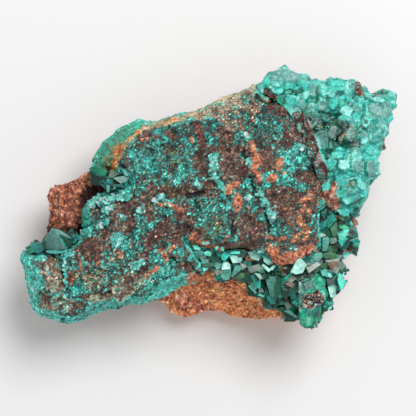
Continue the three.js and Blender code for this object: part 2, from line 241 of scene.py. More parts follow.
def cells(points, size, seed):
    """Distance to the nearest of many scattered centres about `size` apart, in sizes, and its number."""
    place = points / size
    base = np.floor(place).astype(np.int64)
    near = np.full(len(points), 9.0)
    number = np.zeros(len(points))
    for step in np.ndindex(3, 3, 3):
        cell = base + np.array(step) - 1
        mixed = cell @ CELL_PRIMES + seed * 7919
        random = [((mixed * k) ^ (mixed >> 7)) % CELL_PRIME / CELL_PRIME for k in CELL_FACTORS]
        away = np.linalg.norm(cell + np.stack(random, 1) - place, axis=1)
        closer = away < near
        near = np.where(closer, away, near)
        number = np.where(closer, random[0], number)
    return near, number


def relief(points, *lumps):
    """Noise of several (height, width, shift) in mm added up."""
    return sum(height * relief_noise(points + shift, width) for height, width, shift in lumps)


def smooth(x, low, high):
    """0 up to `low`, 1 from `high`, and a soft rise between them."""
    t = np.clip((x - low) / (high - low), 0, 1)
    return t * t * (3 - 2 * t)


def steepness(normals, low, high):
    """1 where a surface is steep and 0 where it faces up, changing between two heights of the normal."""
    return 1 - smooth(normals[:, 2], low, high)


def evenly(values):
    """The values' ranks, from 0 to 1."""
    ranks = np.empty(len(values))
    ranks[np.argsort(values)] = np.linspace(0, 1, len(values))
    return ranks


# Lumps of colour: how wide in mm, and how much each size counts.
CRUST_LUMPS = (3.2, 0.6), (1.5, 0.7), (0.75, 0.8), (0.36, 0.9), (0.2, 0.8)
ROCK_LUMPS = (2.4, 0.6), (1.1, 0.8), (0.5, 0.8), (0.28, 0.5)


def wander(points, shift, lumps=CRUST_LUMPS):
    """A value from 0 to 1 that wanders from rock to crystal over a surface, evenly spread."""
    return evenly(sum(much * grain_noise(points + shift + 40 * size, size) for size, much in lumps))


# ---- What lies where on the crust ----------------------------------------------------------------------
# A stroke is a half width in pixels and the pixels that its line passes through.

BROWN = [
    (9, (84, 250), (104, 240)), (6, (80, 256), (96, 258)), (9, (120, 214), (128, 224)),
    (6, (120, 203), (150, 198)), (4, (98, 208), (102, 213)), (5, (37, 264), (46, 272)),
    (6, (40, 295), (46, 306)), (5, (60, 306), (76, 306)), (4, (86, 266), (88, 274)),
    (4.5, (88, 300), (102, 296), (116, 289), (130, 279), (142, 268)), (6, (148, 240), (160, 230)),
    (6, (152, 188), (172, 192)), (5, (182, 190), (196, 188)), (9, (206, 188), (212, 190)),
    (6, (197, 158), (204, 172)), (11, (226, 160), (238, 166)), (9, (230, 172), (240, 174)),
    (4, (205, 149), (246, 149)), (8, (222, 132), (226, 140)), (8, (308, 178), (318, 186)),
    (8, (318, 192), (310, 206)), (9, (276, 196), (298, 197)), (8, (286, 212), (298, 218)),
    (10, (246, 226), (250, 240)), (4, (222, 246), (252, 246)), (5, (186, 230), (198, 230)),
    (7, (168, 226), (176, 240)), (5, (148, 252), (140, 262)), (6, (262, 224), (260, 238)),
    (5, (180, 214), (190, 220)), (5, (150, 206), (150, 218)), (6, (244, 158), (240, 150)),
]
SMOOTH_BROWN = [(8, (266, 158), (269, 168)), (4, (276, 206), (292, 214)), (3, (110, 224), (120, 228))]
PALE_BROWN = [(9, (50, 266), (54, 284)), (5, (56, 302), (48, 308)), (4, (88, 302), (112, 294))]
RED = [(4, (69, 273), (70, 281))]
# Bright rims along the lobe's edge: partly their own colour and partly painted light.
RIM = [
    (3.5, (156, 291), (172, 289), (192, 286)), (5, (23, 246), (25, 262), (28, 280), (33, 302)),
    (3.4, (34, 307), (44, 313), (58, 317)), (3, (38, 272), (41, 284)),
    (3.5, (26, 242), (36, 244), (44, 248)), (3, (98, 308), (116, 303)),
    (5, (158, 293), (172, 290), (188, 289)), (2.4, (44, 284), (34, 288)), (3, (66, 246), (78, 234)),
    (3, (124, 238), (114, 236)),
]
MAROON = [
    (8, (296, 126), (288, 142)), (5, (284, 144), (296, 140)), (5, (272, 108), (288, 112)),
    (3.5, (298, 116), (306, 132), (314, 148), (319, 160)), (3, (196, 122), (200, 132), (203, 142)),
    (4, (141, 137), (147, 133)), (6, (302, 244), (312, 240)), (2, (233, 221), (234, 236)),
    (4, (184, 266), (198, 274)), (3, (322, 172), (328, 184)), (2, (168, 134), (175, 137)),
    (3, (158, 234), (150, 246)), (3, (100, 256), (96, 266)),
]
TEAL = [
    (5, (150, 130), (174, 124), (198, 119)), (6, (250, 184), (286, 184)), (8, (272, 216), (281, 230)),
    (6, (222, 200), (236, 206)), (5, (244, 200), (256, 204)), (5, (158, 212), (170, 210)),
    (6, (104, 254), (112, 268)), (7, (118, 246), (134, 252)), (6, (160, 272), (170, 264)),
    (8, (266, 124), (278, 132)), (7, (214, 222), (228, 238)), (6, (146, 226), (134, 236)),
    (6, (186, 166), (178, 176)), (5, (240, 132), (250, 140)), (5, (212, 140), (206, 128)),
    (6, (106, 226), (98, 222)), (5, (152, 262), (170, 248)), (5, (196, 222), (206, 214)),
    (4, (64, 262), (66, 276)), (5, (62, 292), (84, 292)), (5, (72, 300), (88, 306)),
    (5, (96, 308), (116, 306)), (4, (130, 216), (140, 222)),
]
DEEP = [
    (9, (158, 134), (186, 136)), (6, (150, 148), (160, 152)), (7, (150, 160), (160, 170)),
    (5, (300, 166), (314, 166)), (5, (212, 120), (216, 140)), (5, (262, 112), (278, 118)),
    (4, (276, 222), (284, 226)),
]
CYAN = [
    (9, (290, 156), (304, 160)), (5, (284, 168), (292, 170)), (5, (134, 154), (142, 160)),
    (4, (138, 168), (146, 164)), (4, (266, 176), (292, 178)), (4, (154, 142), (166, 160)),
    (4, (298, 186), (306, 186)), (5, (170, 268), (160, 276)), (4, (186, 142), (192, 150)),
]
PALE = [
    (4.2, (213, 159), (213, 166), (212, 172)), (2.6, (214, 176), (219, 183), (223, 190)),
    (3.4, (257, 193), (262, 194)), (3.8, (264, 199), (266, 205)), (3.6, (268, 212), (273, 218)),
    (3, (154, 202), (160, 196), (164, 200)), (4, (98, 204), (108, 200)), (3.5, (118, 198), (130, 196)),
    (2.5, (104, 212), (110, 208)), (3, (138, 212), (142, 207)), (2.5, (100, 226), (106, 222)),
    (3, (92, 206), (96, 202)), (3, (120, 217), (125, 219)), (2.5, (112, 240), (118, 236)),
    (3, (48, 252), (56, 254), (68, 254)), (1.3, (63.5, 256), (64.5, 270), (65.5, 284)),
    (2.5, (246, 134), (247, 138)), (3, (298, 146), (306, 148)), (3, (134, 268), (142, 262)),
    (2.5, (196, 184), (200, 186)), (2.5, (250, 168), (247, 160)), (2.5, (230, 204), (226, 208)),
    (2.5, (246, 198), (250, 196)),
]
ORANGE = [
    (2.6, (251, 144), (253, 150)), (4.6, (255, 155), (258, 160)), (3, (253, 166), (254, 170)),
    (2.6, (260, 174), (261, 179)), (3.6, (281, 162), (280, 168)), (2.8, (269, 179), (274, 178)),
    (4, (230, 188), (236, 185)), (2, (227, 193), (229, 192)), (4.4, (237, 197), (237, 207)),
    (2, (245, 209), (248, 209)), (1.4, (212, 198), (216, 198)), (4, (192, 236), (200, 241), (207, 247)),
    (2, (212, 248), (221, 250)), (3.4, (163, 252), (166, 258)), (1.8, (170, 249), (174, 248)),
    (2.5, (144, 276), (151, 272), (157, 267)), (5, (272, 248), (277, 258)), (7, (284, 260), (290, 258)),
    (5, (297, 255), (302, 253)), (4, (306, 252), (312, 249)), (2, (268, 236), (275, 240)),
    (1.6, (278, 240), (284, 238)), (2, (275, 205), (280, 209), (286, 210)), (3, (308, 212), (309, 214)),
    (2, (168, 203), (175, 207), (182, 210)), (1.6, (158, 203), (163, 205)), (2, (193, 139), (194, 141)),
    (1.2, (239, 122), (243, 128), (247, 133)), (3.2, (190, 279), (197, 277)), (1.2, (298, 200), (308, 198)),
    (1.2, (224, 240), (230, 236)), (1.8, (296, 222), (300, 226)), (1.2, (266, 186), (268, 192)),
    (1.5, (142, 140), (146, 138)),
]
GOLD = [
    (1.7, (79, 263), (79, 270), (77, 277)), (4, (306, 229), (304, 238)), (3, (298, 236), (294, 240)),
    (2.5, (298, 220), (302, 224)), (1.5, (131, 241), (131, 247)), (2, (300, 212), (304, 206)),
    (1.5, (284, 173), (286, 174)), (2, (308, 192), (312, 200)), (2, (214, 216), (218, 222)),
    (1.5, (96, 264), (98, 262)), (1.6, (120, 252), (122, 256)), (2, (170, 248), (171, 250)),
]
TAN = [
    (6, (88, 282), (102, 278)), (4, (104, 266), (110, 262)), (5, (94, 302), (126, 293)),
    (5, (60, 298), (66, 308)), (5, (54, 278), (56, 288)), (4, (132, 288), (146, 278)),
    (4, (118, 284), (130, 272)), (3, (38, 300), (44, 306)),
]
BEIGE = [
    (5, (200, 116), (214, 110), (230, 104)), (6, (230, 98), (250, 93)), (6, (212, 112), (224, 118)),
    (5, (226, 124), (232, 128)), (3, (234, 109), (237, 113)), (3, (262, 98), (272, 100)),
    (4, (284, 94), (290, 98)), (5, (240, 104), (252, 108)), (4, (264, 86), (278, 92)),
    (4, (252, 118), (256, 110)),
]
MOSS = [
    (9, (166, 158), (186, 158)), (8, (206, 234), (216, 226)), (6, (176, 196), (168, 186)),
    (5, (228, 140), (234, 128)),
]
BANK = [
    (10, (96, 168), (98, 156), (106, 142), (118, 130), (134, 122)), (6, (104, 160), (112, 140)),
    (4, (122, 128), (140, 124)),
]
BANK_EDGE = [(1.6, (92, 168), (95, 158), (102, 144), (112, 132), (124, 123), (138, 119), (144, 120))]
LINE = [
    (2.2, (122, 146), (128, 139), (134, 134), (146, 126)),
    (3, (146, 125), (160, 121), (176, 117), (184, 115)),
]
STRAW = [
    (3.4, (178, 115), (190, 111), (200, 107), (212, 101), (226, 95)), (2, (230, 95), (246, 88), (262, 82)),
]
FROSTED = [
    (3, (50, 253), (58, 251), (66, 254)), (3, (42, 254), (43, 259)), (2.2, (70, 247), (72, 256)),
    (3, (114, 237), (117, 243)), (2, (102, 266), (110, 264)), (2, (124, 270), (131, 267), (138, 264)),
    (1.6, (80, 240), (86, 233)), (2, (36, 288), (42, 290)),
]
BLOOD = [
    (2.6, (298, 114), (303, 124), (307, 136), (311, 150), (315, 163), (321, 176)),
    (3.6, (197, 123), (200, 132), (203, 142)), (2.4, (167, 131), (172, 136)), (2.4, (152, 134), (156, 138)),
]
LIME = [
    (5, (114, 172), (110, 178)), (4, (122, 146), (128, 138)), (4, (112, 148), (108, 166)),
    (3, (120, 142), (112, 156)),
]
FLAME = [
    (4.2, (119, 149), (118, 156), (114, 165), (112, 169)), (1.6, (128, 137), (136, 132)),
    (1.4, (112, 170), (107, 179)), (1.6, (168, 119), (178, 117)), (1.2, (131, 136), (140, 129)),
]
# Holes and dark seams, sunk into the crust and painted black and deep green as the shade in them.
HOLES = [
    (2.6, (188, 196), (195, 196), (202, 192)), (2, (196, 202), (201, 210)), (1.2, (62, 262), (65, 285)),
    (1.2, (232, 222), (234, 236)), (1.2, (250, 176), (254, 190), (257, 198)),
    (1.4, (258, 96), (266, 101), (274, 102)), (1.2, (264, 208), (268, 220), (268, 232)),
    (1.2, (318, 160), (322, 172), (326, 188)), (1.2, (98, 298), (110, 292)), (1.6, (122, 166), (130, 172)),
    (1.2, (170, 258), (178, 262)), (1.2, (243, 150), (247, 162)), (1.2, (186, 262), (196, 270)),
    (1.2, (80, 228), (92, 224)), (1.2, (284, 102), (292, 106)),
]


def inside_strokes(strokes, spots):
    """How many pixels each spot lies inside the nearest stroke's edge, negative outside."""
    best = np.full(len(spots), -99.0)
    for radius, *line in strokes:
        for start, end in zip(line, line[1:] or line):
            start, along = np.array(start, float), np.subtract(end, start).astype(float)
            t = np.clip((spots - start) @ along / max(along @ along, 1e-9), 0, 1)
            away = np.linalg.norm(spots - start - t[:, None] * along, axis=1)
            best = np.maximum(best, radius - away)
    return best


def stroke_share(strokes, spots, soft, ragged=0.0):
    """How much strokes cover each spot. Edges fade over `soft` pixels to each side and move by `ragged`."""
    return smooth(inside_strokes(strokes, spots) + ragged, -soft, soft)


# Each coat goes over those before it: its mix, its strokes, how far noise moves its edge, the edge's
# softness in pixels, and how well it covers.
COATS = [
    ("teal", TEAL, 3.0, 3.0, 0.85),
    ("deep", DEEP, 3.0, 3.0, 0.85),
    ("moss", MOSS, 3.0, 4.0, 0.7),
    ("brown", BROWN, 2.6, 1.8, 0.92),
    ("maroon", MAROON, 2.0, 1.4, 0.9),
    ("pale_brown", PALE_BROWN, 2.4, 2.4, 0.85),
    ("red", RED, 1.5, 2.0, 0.85),
    ("smooth_brown", SMOOTH_BROWN, 2.0, 1.6, 0.95),
    ("tan", TAN, 2.6, 3.0, 0.7),
    ("beige", BEIGE, 2.4, 2.4, 0.95),
    ("cyan", CYAN, 2.4, 2.0, 0.9),
    ("rim", RIM, 1.6, 1.6, 0.9),
    ("bank", BANK, 1.5, 1.5, 1.0),
    ("bank_edge", BANK_EDGE, 0.8, 1.5, 0.8),
    ("lime", LIME, 1.6, 3.0, 0.8),
    ("line", LINE, 1.0, 1.6, 0.85),
    ("straw", STRAW, 0.8, 1.8, 0.9),
    ("blood", BLOOD, 1.2, 1.2, 0.9),
    ("frosted", FROSTED, 1.2, 1.4, 0.9),
    ("flame", FLAME, 1.0, 1.6, 0.9),
    ("pale", PALE, 1.6, 1.0, 0.92),
    ("orange", ORANGE, 1.5, 0.8, 0.97),
    ("gold", GOLD, 1.2, 0.8, 0.95),
    ("hole_shade", HOLES, 1.0, 1.0, 0.95),
]
# Noise that moves all the coats at once: its shift, its width in mm, and how far it moves them in pixels.
SWAYS = (0, 2.4, 1.4), (90, 0.9, 0.9), (150, 0.4, 0.7)


def coat_shares(points):
    """How much each coat covers each point of the crust, by the coat's name."""
    spots = pixels(points)
    for shift, size, far in SWAYS:
        for axis in range(2):
            spots[:, axis] += far * patch_noise(points + shift + 50 * axis, size)
    shares = {}
    for name, strokes, ragged, soft, cover in COATS:
        wobble = patch_noise.rough(points + len(shares) * 31.7, 2.2, 4, 0.7)
        shares[name] = cover * stroke_share(strokes, spots, soft / 2, ragged * wobble)
    return shares


def covered(shares, **much):
    """How much some coats cover each point, each counted by its own factor."""
    return sum(factor * shares[name] for name, factor in much.items())


# ---- Meshes --------------------------------------------------------------------------------------------


def step_size(full):
    return full


def new_piece(name, points, faces, tint, material, replaces=(), flat=False, fleck=None):
    """A mesh object from points in mm and one or more arrays of faces, with two colours at each point."""
    groups = faces if isinstance(faces, list) else [faces]
    mesh = bpy.data.meshes.new(name)
    mesh.vertices.add(len(points))
    mesh.vertices.foreach_set("co", (points * MM).astype(np.float32).ravel())
    corners = np.concatenate([group.ravel() for group in groups])
    sizes = np.concatenate([np.full(len(group), group.shape[1]) for group in groups])
    mesh.loops.add(len(corners))
    mesh.loops.foreach_set("vertex_index", corners.astype(np.int32))
    mesh.polygons.add(len(sizes))
    starts = np.concatenate([[0], np.cumsum(sizes)[:-1]])
    mesh.polygons.foreach_set("loop_start", starts.astype(np.int32))
    mesh.polygons.foreach_set("use_smooth", np.full(len(sizes), not flat))
    mesh.update(calc_edges=True)
    mesh.validate()
    for layer, colours in (("tint", tint), ("fleck", tint if fleck is None else fleck)):
        stored = mesh.color_attributes.new(layer, "FLOAT_COLOR", "POINT")
        rgba = np.concatenate([colours, np.ones((len(colours), 1))], 1)
        stored.data.foreach_set("color", rgba.astype(np.float32).ravel())
    mesh.materials.append(material)
    piece = bpy.data.objects.new(name, mesh)
    scene.collection.objects.link(piece)
    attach(piece, "root")
    if replaces:
        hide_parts(*replaces)


def node_mesh(node):
    """A copy of a CAD node's mesh, in mm."""
    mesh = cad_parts[node].data.copy()
    mesh.transform(Matrix.Scale(1 / MM, 4))
    return mesh


def remeshed(mesh, voxel, passes):
    """A mesh in mm as an even grid of quads over its outside, with its edges smoothed."""
    work = bpy.data.objects.new("work", mesh)
    scene.collection.objects.link(work)
    even = work.modifiers.new("even", "REMESH")
    even.mode = "VOXEL"
    even.voxel_size = voxel
    soft = work.modifiers.new("soft", "SMOOTH")
    soft.factor = 0.5
    soft.iterations = passes
    made = bpy.data.meshes.new_from_object(work.evaluated_get(bpy.context.evaluated_depsgraph_get()))
    points = np.empty(len(made.vertices) * 3)
    made.vertices.foreach_get("co", points)
    quads = np.empty(len(made.polygons) * 4, np.int64)
    made.polygons.foreach_get("vertices", quads)
    bpy.data.objects.remove(work)
    bpy.data.meshes.remove(made)
    bpy.data.meshes.remove(mesh)
    return points.reshape(-1, 3), quads.reshape(-1, 4)


def plain_mesh(points, faces):
    """A mesh from points and lists of faces."""
    mesh = bpy.data.meshes.new("work")
    mesh.from_pydata(points.tolist(), [], [face for group in faces for face in group.tolist()])
    return mesh


def spread(values, quads, count, times):
    """Values at the corners of quads, averaged with their neighbours some number of times."""
    ends = np.concatenate([quads[:, [k, (k + 1) % 4]] for k in range(4)])
    degree = np.maximum(np.bincount(ends[:, 0], minlength=count), 1)[:, None]
    for _ in range(times):
        summed = [np.bincount(ends[:, 0], values[ends[:, 1], k], count) for k in range(values.shape[1])]
        values = 0.5 * values + 0.5 * np.stack(summed, 1) / degree
    return values


def crease_shade(points, quads, normals, times, crease, edge):
    """How bright each point is: painted shade in creases and a painted highlight on edges, by (how much,
    from, to) in mm.
    """
    around = spread(points, quads, len(points), times)
    hollow = np.einsum("ij,ij->i", around - points, normals)
    shade = 1 - crease[0] * smooth(hollow, *crease[1:]) + edge[0] * smooth(-hollow, *edge[1:])
    return shade[:, None]


def normals_of(points, quads):
    """The unit normal at each point."""
    a, b, c, d = (points[quads[:, k]] for k in range(4))
    across = np.cross(c - a, d - b)
    total = np.zeros_like(points)
    for k in range(4):
        for axis in range(3):
            total[:, axis] += np.bincount(quads[:, k], across[:, axis], len(points))
    return total / np.maximum(np.linalg.norm(total, axis=1, keepdims=True), 1e-9)


def tree_of_node(node):
    """A CAD node's surface in mm, to look for near places and hits on."""
    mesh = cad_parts[node].data
    points = np.empty(len(mesh.vertices) * 3)
    mesh.vertices.foreach_get("co", points)
    points = points.reshape(-1, 3) / MM
    return BVHTree.FromPolygons(points.tolist(), [list(p.vertices) for p in mesh.polygons])


TREES = {node: tree_of_node(node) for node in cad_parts}


def clear_of(points, others, reach):
    """True for the points that are `reach` mm or more from the other CAD nodes."""
    keep = [all(TREES[n].find_nearest(p, reach)[0] is None for n in others) for p in points.tolist()]
    return np.array(keep, bool)


def scattered(points, quads, normals, density, draw):
    """Random places on a surface, `density` of them to a square mm, with their normals."""
    a, b, c, d = (points[quads[:, k]] for k in range(4))
    area = np.linalg.norm(np.cross(c - a, d - b), axis=1) / 2
    wanted = area * density
    count = np.floor(wanted + draw.random(len(wanted))).astype(int)
    chosen = np.repeat(np.arange(len(quads)), count)
    s, t = draw.random((2, len(chosen), 1))
    a, b, c, d = a[chosen], b[chosen], c[chosen], d[chosen]
    places = (1 - s) * ((1 - t) * a + t * d) + s * ((1 - t) * b + t * c)
    return places, normals[quads[chosen, 0]]


def frames_on(axes, draw):
    """Turning matrices that take +Z to each axis, spun at random about it."""
    axes = axes / np.linalg.norm(axes, axis=1, keepdims=True)
    side = draw.normal(size=axes.shape)
    side -= axes * np.einsum("ij,ij->i", side, axes)[:, None]
    side /= np.linalg.norm(side, axis=1, keepdims=True)
    return np.stack([side, np.cross(axes, side), axes], axis=2)


def leaning(axes, lean, draw):
    """The axes, each tipped a little at random."""
    return axes + lean * draw.normal(size=axes.shape)


def set_on(places, axes, shapes, face_groups, draw):
    """A small shape at each place, its Z along the axis there, as points and arrays of faces."""
    turned = np.einsum("nij,nvj->nvi", frames_on(axes, draw), shapes) + places[:, None]
    step = shapes.shape[1] * np.arange(len(places))[:, None, None]
    return turned.reshape(-1, 3), *((group + step).reshape(-1, group.shape[1]) for group in face_groups)


CUBE = np.array([(x, y, z) for z in (-1, 1) for y in (-1, 1) for x in (-1, 1)], float) / 2
CUBE_FACES = np.array([(0, 2, 3, 1), (4, 5, 7, 6), (0, 1, 5, 4), (2, 6, 7, 3), (0, 4, 6, 2), (1, 3, 7, 5)])
SPIKE = np.array([(0.6, 0, -0.35), (-0.3, 0.52, -0.35), (-0.3, -0.52, -0.35), (0, 0, 0.45)])
SPIKE_FACES = np.array([(0, 2, 1), (0, 1, 3), (1, 2, 3), (2, 0, 3)])
GRAIN_LEAN = 0.3


def grains(places, axes, sizes, draw):
    """Small uneven blocks half sunk in a surface, as points and quads."""
    count = len(places)
    axes = leaning(axes, GRAIN_LEAN, draw)
    shape = CUBE + draw.uniform(-0.2, 0.2, (count, 8, 3))
    shape *= draw.uniform(0.75, 1.25, (count, 1, 3))
    shape[:, 4:, :2] *= draw.uniform(0.35, 0.9, (count, 1, 1))
    return set_on(places, axes, shape * sizes[:, None, None], [CUBE_FACES], draw)


def spikes(places, axes, sizes, draw):
    """Small uneven three-sided points half sunk in a surface, as points and triangles."""
    count = len(places)
    axes = leaning(axes, GRAIN_LEAN, draw)
    shape = SPIKE + draw.uniform(-0.22, 0.22, (count, 4, 3))
    shape *= draw.uniform(0.75, 1.3, (count, 1, 3)) * sizes[:, None, None]
    return set_on(places, axes, shape, [SPIKE_FACES], draw)


SUNK = 1.2  # mm of each prism below the surface it stands on
TIP_SLOPE = math.tan(math.radians(51))
RING = np.array([(math.cos(math.radians(60 * k)), math.sin(math.radians(60 * k))) for k in range(6)])
FALLS = np.array([1.0, 0.5] * 3)  # how far the tip's three faces fall at each edge of a prism
PRISM_QUADS = np.array(
    [(k, (k + 1) % 6, 6 + (k + 1) % 6, 6 + k) for k in range(6)]
    + [(12, 6 + (k - 1) % 6, 6 + k, 6 + (k + 1) % 6) for k in (0, 2, 4)]
)
PRISM_BASE = np.array([(5, 4, 3, 2, 1, 0)])


def prisms(roots, axes, widths, lengths, draw):
    """Dioptase crystals, six-sided with three-sided tips, as points, quads and hexagons."""
    count = len(roots)
    radius = widths[:, None] / 2 * draw.uniform(0.86, 1.14, (count, 6))
    x, y = RING[:, 0] * radius, RING[:, 1] * radius
    low = np.maximum(lengths[:, None] - TIP_SLOPE * radius * FALLS, 0.15 * lengths[:, None])
    shape = np.zeros((count, 13, 3))
    shape[:, :6, 0], shape[:, :6, 1] = x, y
    shape[:, 6:12, 0], shape[:, 6:12, 1], shape[:, 6:12, 2] = x, y, low
    shape[:, 12, 2] = lengths
    shape[:, 12, :2] = draw.normal(size=(count, 2)) * widths[:, None] * 0.04
    return set_on(roots, axes, shape, [PRISM_QUADS, PRISM_BASE], draw)


def repeated_tint(tint, low, high, corners, draw):
    """A colour for each corner of many small shapes, each shape a little darker or paler than the next."""
    return np.repeat(tint * draw.uniform(low, high, (len(tint), 1)), corners, axis=0)


def joined(*parts):
    """Several (points, faces, ...) sets as one, with the faces of each size together."""
    offset = 0
    points, faces = [], {}
    for part_points, *part_faces in parts:
        points.append(part_points)
        for group in part_faces:
            faces.setdefault(group.shape[1], []).append(group + offset)
        offset += len(part_points)
    return np.concatenate(points), [np.concatenate(group) for group in faces.values()]


# ---- Materials -----------------------------------------------------------------------------------------


FINEST = 0.26  # mm, the widest that the finest speckle gets
MIX_SHARE, MIX_FIRST, MIX_SECOND, MIX_RESULT = 0, 6, 7, 2  # the colour mix node's sockets


def link(tree, source, output, target, socket):
    """Joins one shader node's output to another's socket."""
    tree.links.new(source.outputs[output], target.inputs[socket])


def add_noise(tree, place, size, seed=0.0):
    """A noise texture whose lumps are about `size` mm across."""
    noise = tree.nodes.new("ShaderNodeTexNoise")
    noise.noise_dimensions = "4D"
    noise.inputs["W"].default_value = seed
    noise.inputs["Scale"].default_value = 0.5 / (size * MM)
    noise.inputs["Detail"].default_value = 2
    noise.inputs["Roughness"].default_value = 0.6
    link(tree, place, "Object", noise, "Vector")
    return noise


def add_range(tree, source, low, high, to_low, to_high):
    """The source's value, with low to high spread over to_low to to_high."""
    ranged = tree.nodes.new("ShaderNodeMapRange")
    for socket, value in (("From Min", low), ("From Max", high), ("To Min", to_low), ("To Max", to_high)):
        ranged.inputs[socket].default_value = value
    link(tree, source, "Fac", ranged, "Value")
    return ranged


def stone_material(name, roughness, fleck, speckle, bump, bump_size, specular=0.5):
    """A matt to satin mineral: the piece's two colours in flecks `fleck` mm wide, with a rough skin."""
    material = bpy.data.materials.new(name)
    material.use_nodes = True
    tree = material.node_tree
    shader = tree.nodes["Principled BSDF"]
    shader.inputs["Specular IOR Level"].default_value = specular
    shader.inputs["IOR"].default_value = 1.6
    place = tree.nodes.new("ShaderNodeTexCoord")
    two = tree.nodes.new("ShaderNodeMix")
    two.data_type = "RGBA"
    for layer, socket in (("tint", MIX_FIRST), ("fleck", MIX_SECOND)):
        colour = tree.nodes.new("ShaderNodeAttribute")
        colour.attribute_name = layer
        link(tree, colour, "Color", two, socket)
    flecks = add_range(tree, add_noise(tree, place, fleck), 0.46, 0.54, 0, 1)
    link(tree, flecks, "Result", two, MIX_SHARE)
    fine = add_noise(tree, place, min(fleck, FINEST), seed=4.0)
    shade = tree.nodes.new("ShaderNodeVectorMath")
    shade.operation = "SCALE"
    link(tree, two, MIX_RESULT, shade, 0)
    link(tree, add_range(tree, fine, 0.36, 0.64, 1 - speckle, 1 + speckle), "Result", shade, "Scale")
    link(tree, shade, "Vector", shader, "Base Color")
    gloss = add_range(tree, fine, 0.3, 0.7, roughness - 0.15, roughness + 0.12)
    link(tree, gloss, "Result", shader, "Roughness")
    raised = tree.nodes.new("ShaderNodeBump")
    raised.inputs["Strength"].default_value = bump
    raised.inputs["Distance"].default_value = bump_size * MM
    link(tree, add_noise(tree, place, bump_size, seed=9.0), "Fac", raised, "Height")
    link(tree, raised, "Normal", shader, "Normal")
    return material


def crystal_material(name, transmission, roughness, cloud):
    """Dioptase: green glass that is cloudy inside, with faint growth marks on its faces."""
    material = stone_material(name, roughness, 0.4, cloud, bump=0.2, bump_size=0.25, specular=0.35)
    shader = material.node_tree.nodes["Principled BSDF"]
    shader.inputs["IOR"].default_value = 1.66
    shader.inputs["Transmission Weight"].default_value = transmission
    return material


crust_stone = stone_material(
    "crust_stone", roughness=0.7, fleck=0.24, speckle=0.6, bump=0.5, bump_size=0.16
)
crust_grain = stone_material(
    "crust_grain", roughness=0.5, fleck=0.24, speckle=0.35, bump=0.3, bump_size=0.12
)
rock_stone = stone_material(
    "rock_stone", roughness=0.85, fleck=0.3, speckle=0.5, bump=0.6, bump_size=0.25, specular=0.3
)
rock_grain = stone_material(
    "rock_grain", roughness=0.8, fleck=0.3, speckle=0.4, bump=0.4, bump_size=0.2, specular=0.35
)
druse_stone = stone_material(
    "druse_stone", roughness=0.4, fleck=0.4, speckle=0.35, bump=0.3, bump_size=0.25
)
band_stone = stone_material(
    "band_stone", roughness=0.38, fleck=0.5, speckle=0.24, bump=0.35, bump_size=0.25
)
pale_dioptase = crystal_material("pale_dioptase", transmission=0.25, roughness=0.42, cloud=0.25)
dark_dioptase = crystal_material("dark_dioptase", transmission=0.35, roughness=0.4, cloud=0.28)

# ---- Where the outline is moved ------------------------------------------------------------------------
# Where the specimen's outline in the picture lies off the CAD's: around these pixels, within a reach in
# pixels, the crust and the crystals move this far in mm, and the rock in the second list.

OUTLINE_SHIFTS = [
    ((284, 65), 10, (0.0, -0.2)), ((305, 71), 11, (0.1, -1.0)), ((345, 80), 12, (0.0, 0.5)),
    ((368, 86), 9, (-0.4, -1.0)), ((386, 92), 11, (0.0, 0.3)), ((398, 101), 10, (-0.6, 0.0)),
    ((393, 119), 8, (-0.45, 0.0)), ((386, 146), 8, (-0.2, 0.0)), ((382, 169), 11, (-0.7, 0.1)),
    ((375, 184), 10, (-0.55, 0.3)), ((363, 199), 10, (0.7, 0.0)), ((358, 213), 7, (-0.45, 0.2)),
    ((355, 233), 11, (1.0, 0.0)), ((360, 250), 8, (-0.6, 0.2)), ((348, 260), 12, (1.1, -0.4)),
    ((338, 286), 11, (0.9, -0.1)), ((335, 310), 11, (-1.4, 0.6)), ((321, 318), 8, (0.4, -0.6)),
    ((308, 322), 13, (0.0, -1.3)), ((99, 312), 16, (0.0, 0.7)), ((60, 322), 10, (0.0, 0.2)),
    ((28, 289), 16, (0.5, 0.0)), ((25, 255), 11, (-0.55, 0.1)), ((36, 241), 11, (0.0, -0.85)),
    ((96, 159), 11, (-0.6, 0.2)), ((118, 127), 16, (0.3, -0.4)), ((158, 120), 16, (0.0, -0.45)),
    ((186, 111), 16, (0.0, -0.6)), ((220, 98), 14, (0.1, -0.35)), ((252, 86), 14, (0.1, -0.3)),
    ((268, 75), 11, (0.1, -0.1)),
]
ROCK_SHIFTS = [
    ((53, 190), 12, (-0.35, 0.55)), ((48, 216), 12, (0.75, 0.0)), ((72, 180), 12, (0.0, 0.3)),
    ((180, 311), 16, (-0.1, -0.8)), ((252, 316), 18, (0.0, -0.8)), ((205, 312), 8, (0.0, 0.25)),
    ((164, 304), 9, (-1.0, -0.1)),
]


def shifted(points, shifts, weight=1.0):
    """The points moved sideways by a table of shifts."""
    spots = pixels(points)
    moved = points.copy()
    for middle, reach, shift in shifts:
        near = np.linalg.norm(spots - middle, axis=1)
        moved[:, :2] += (weight * smooth(near, 1.5 * reach, 0.2 * reach))[:, None] * shift
    return moved


# ---- The crust -----------------------------------------------------------------------------------------

SPIKES = 11.0  # to a square mm
MOST_SPIKES = 46000  # to a piece
CRUST_CRYSTALS = 2.0  # to a square mm, before most are left out
PRISM_CORNERS = 13
CRUST_NEIGHBOURS = ["right_druse", "front_druse", "corner_crystals", "notch_crystals", "matrix_rock"]
CRYSTAL_COLOURS = [NAMES.index(name) for name in ("teal", "grey_teal", "turquoise", "emerald", "mint", "ice")]


def crust_weights(points, normals, shares):
    """The colour shares at points of the crust: its walls first, and the coats over them."""
    side = steepness(normals, 0.45, 0.85)
    high = smooth(points[:, 2], 15.5, 18.5)
    # The walls and the rims along their tops take pale mixes, partly their own colour and partly painted
    # light on walls that stand in shade.
    coats = [("wall", 0.95 * side), ("rim", 0.9 * side * high), *shares.items()]
    return blend_of(coats, len(points))


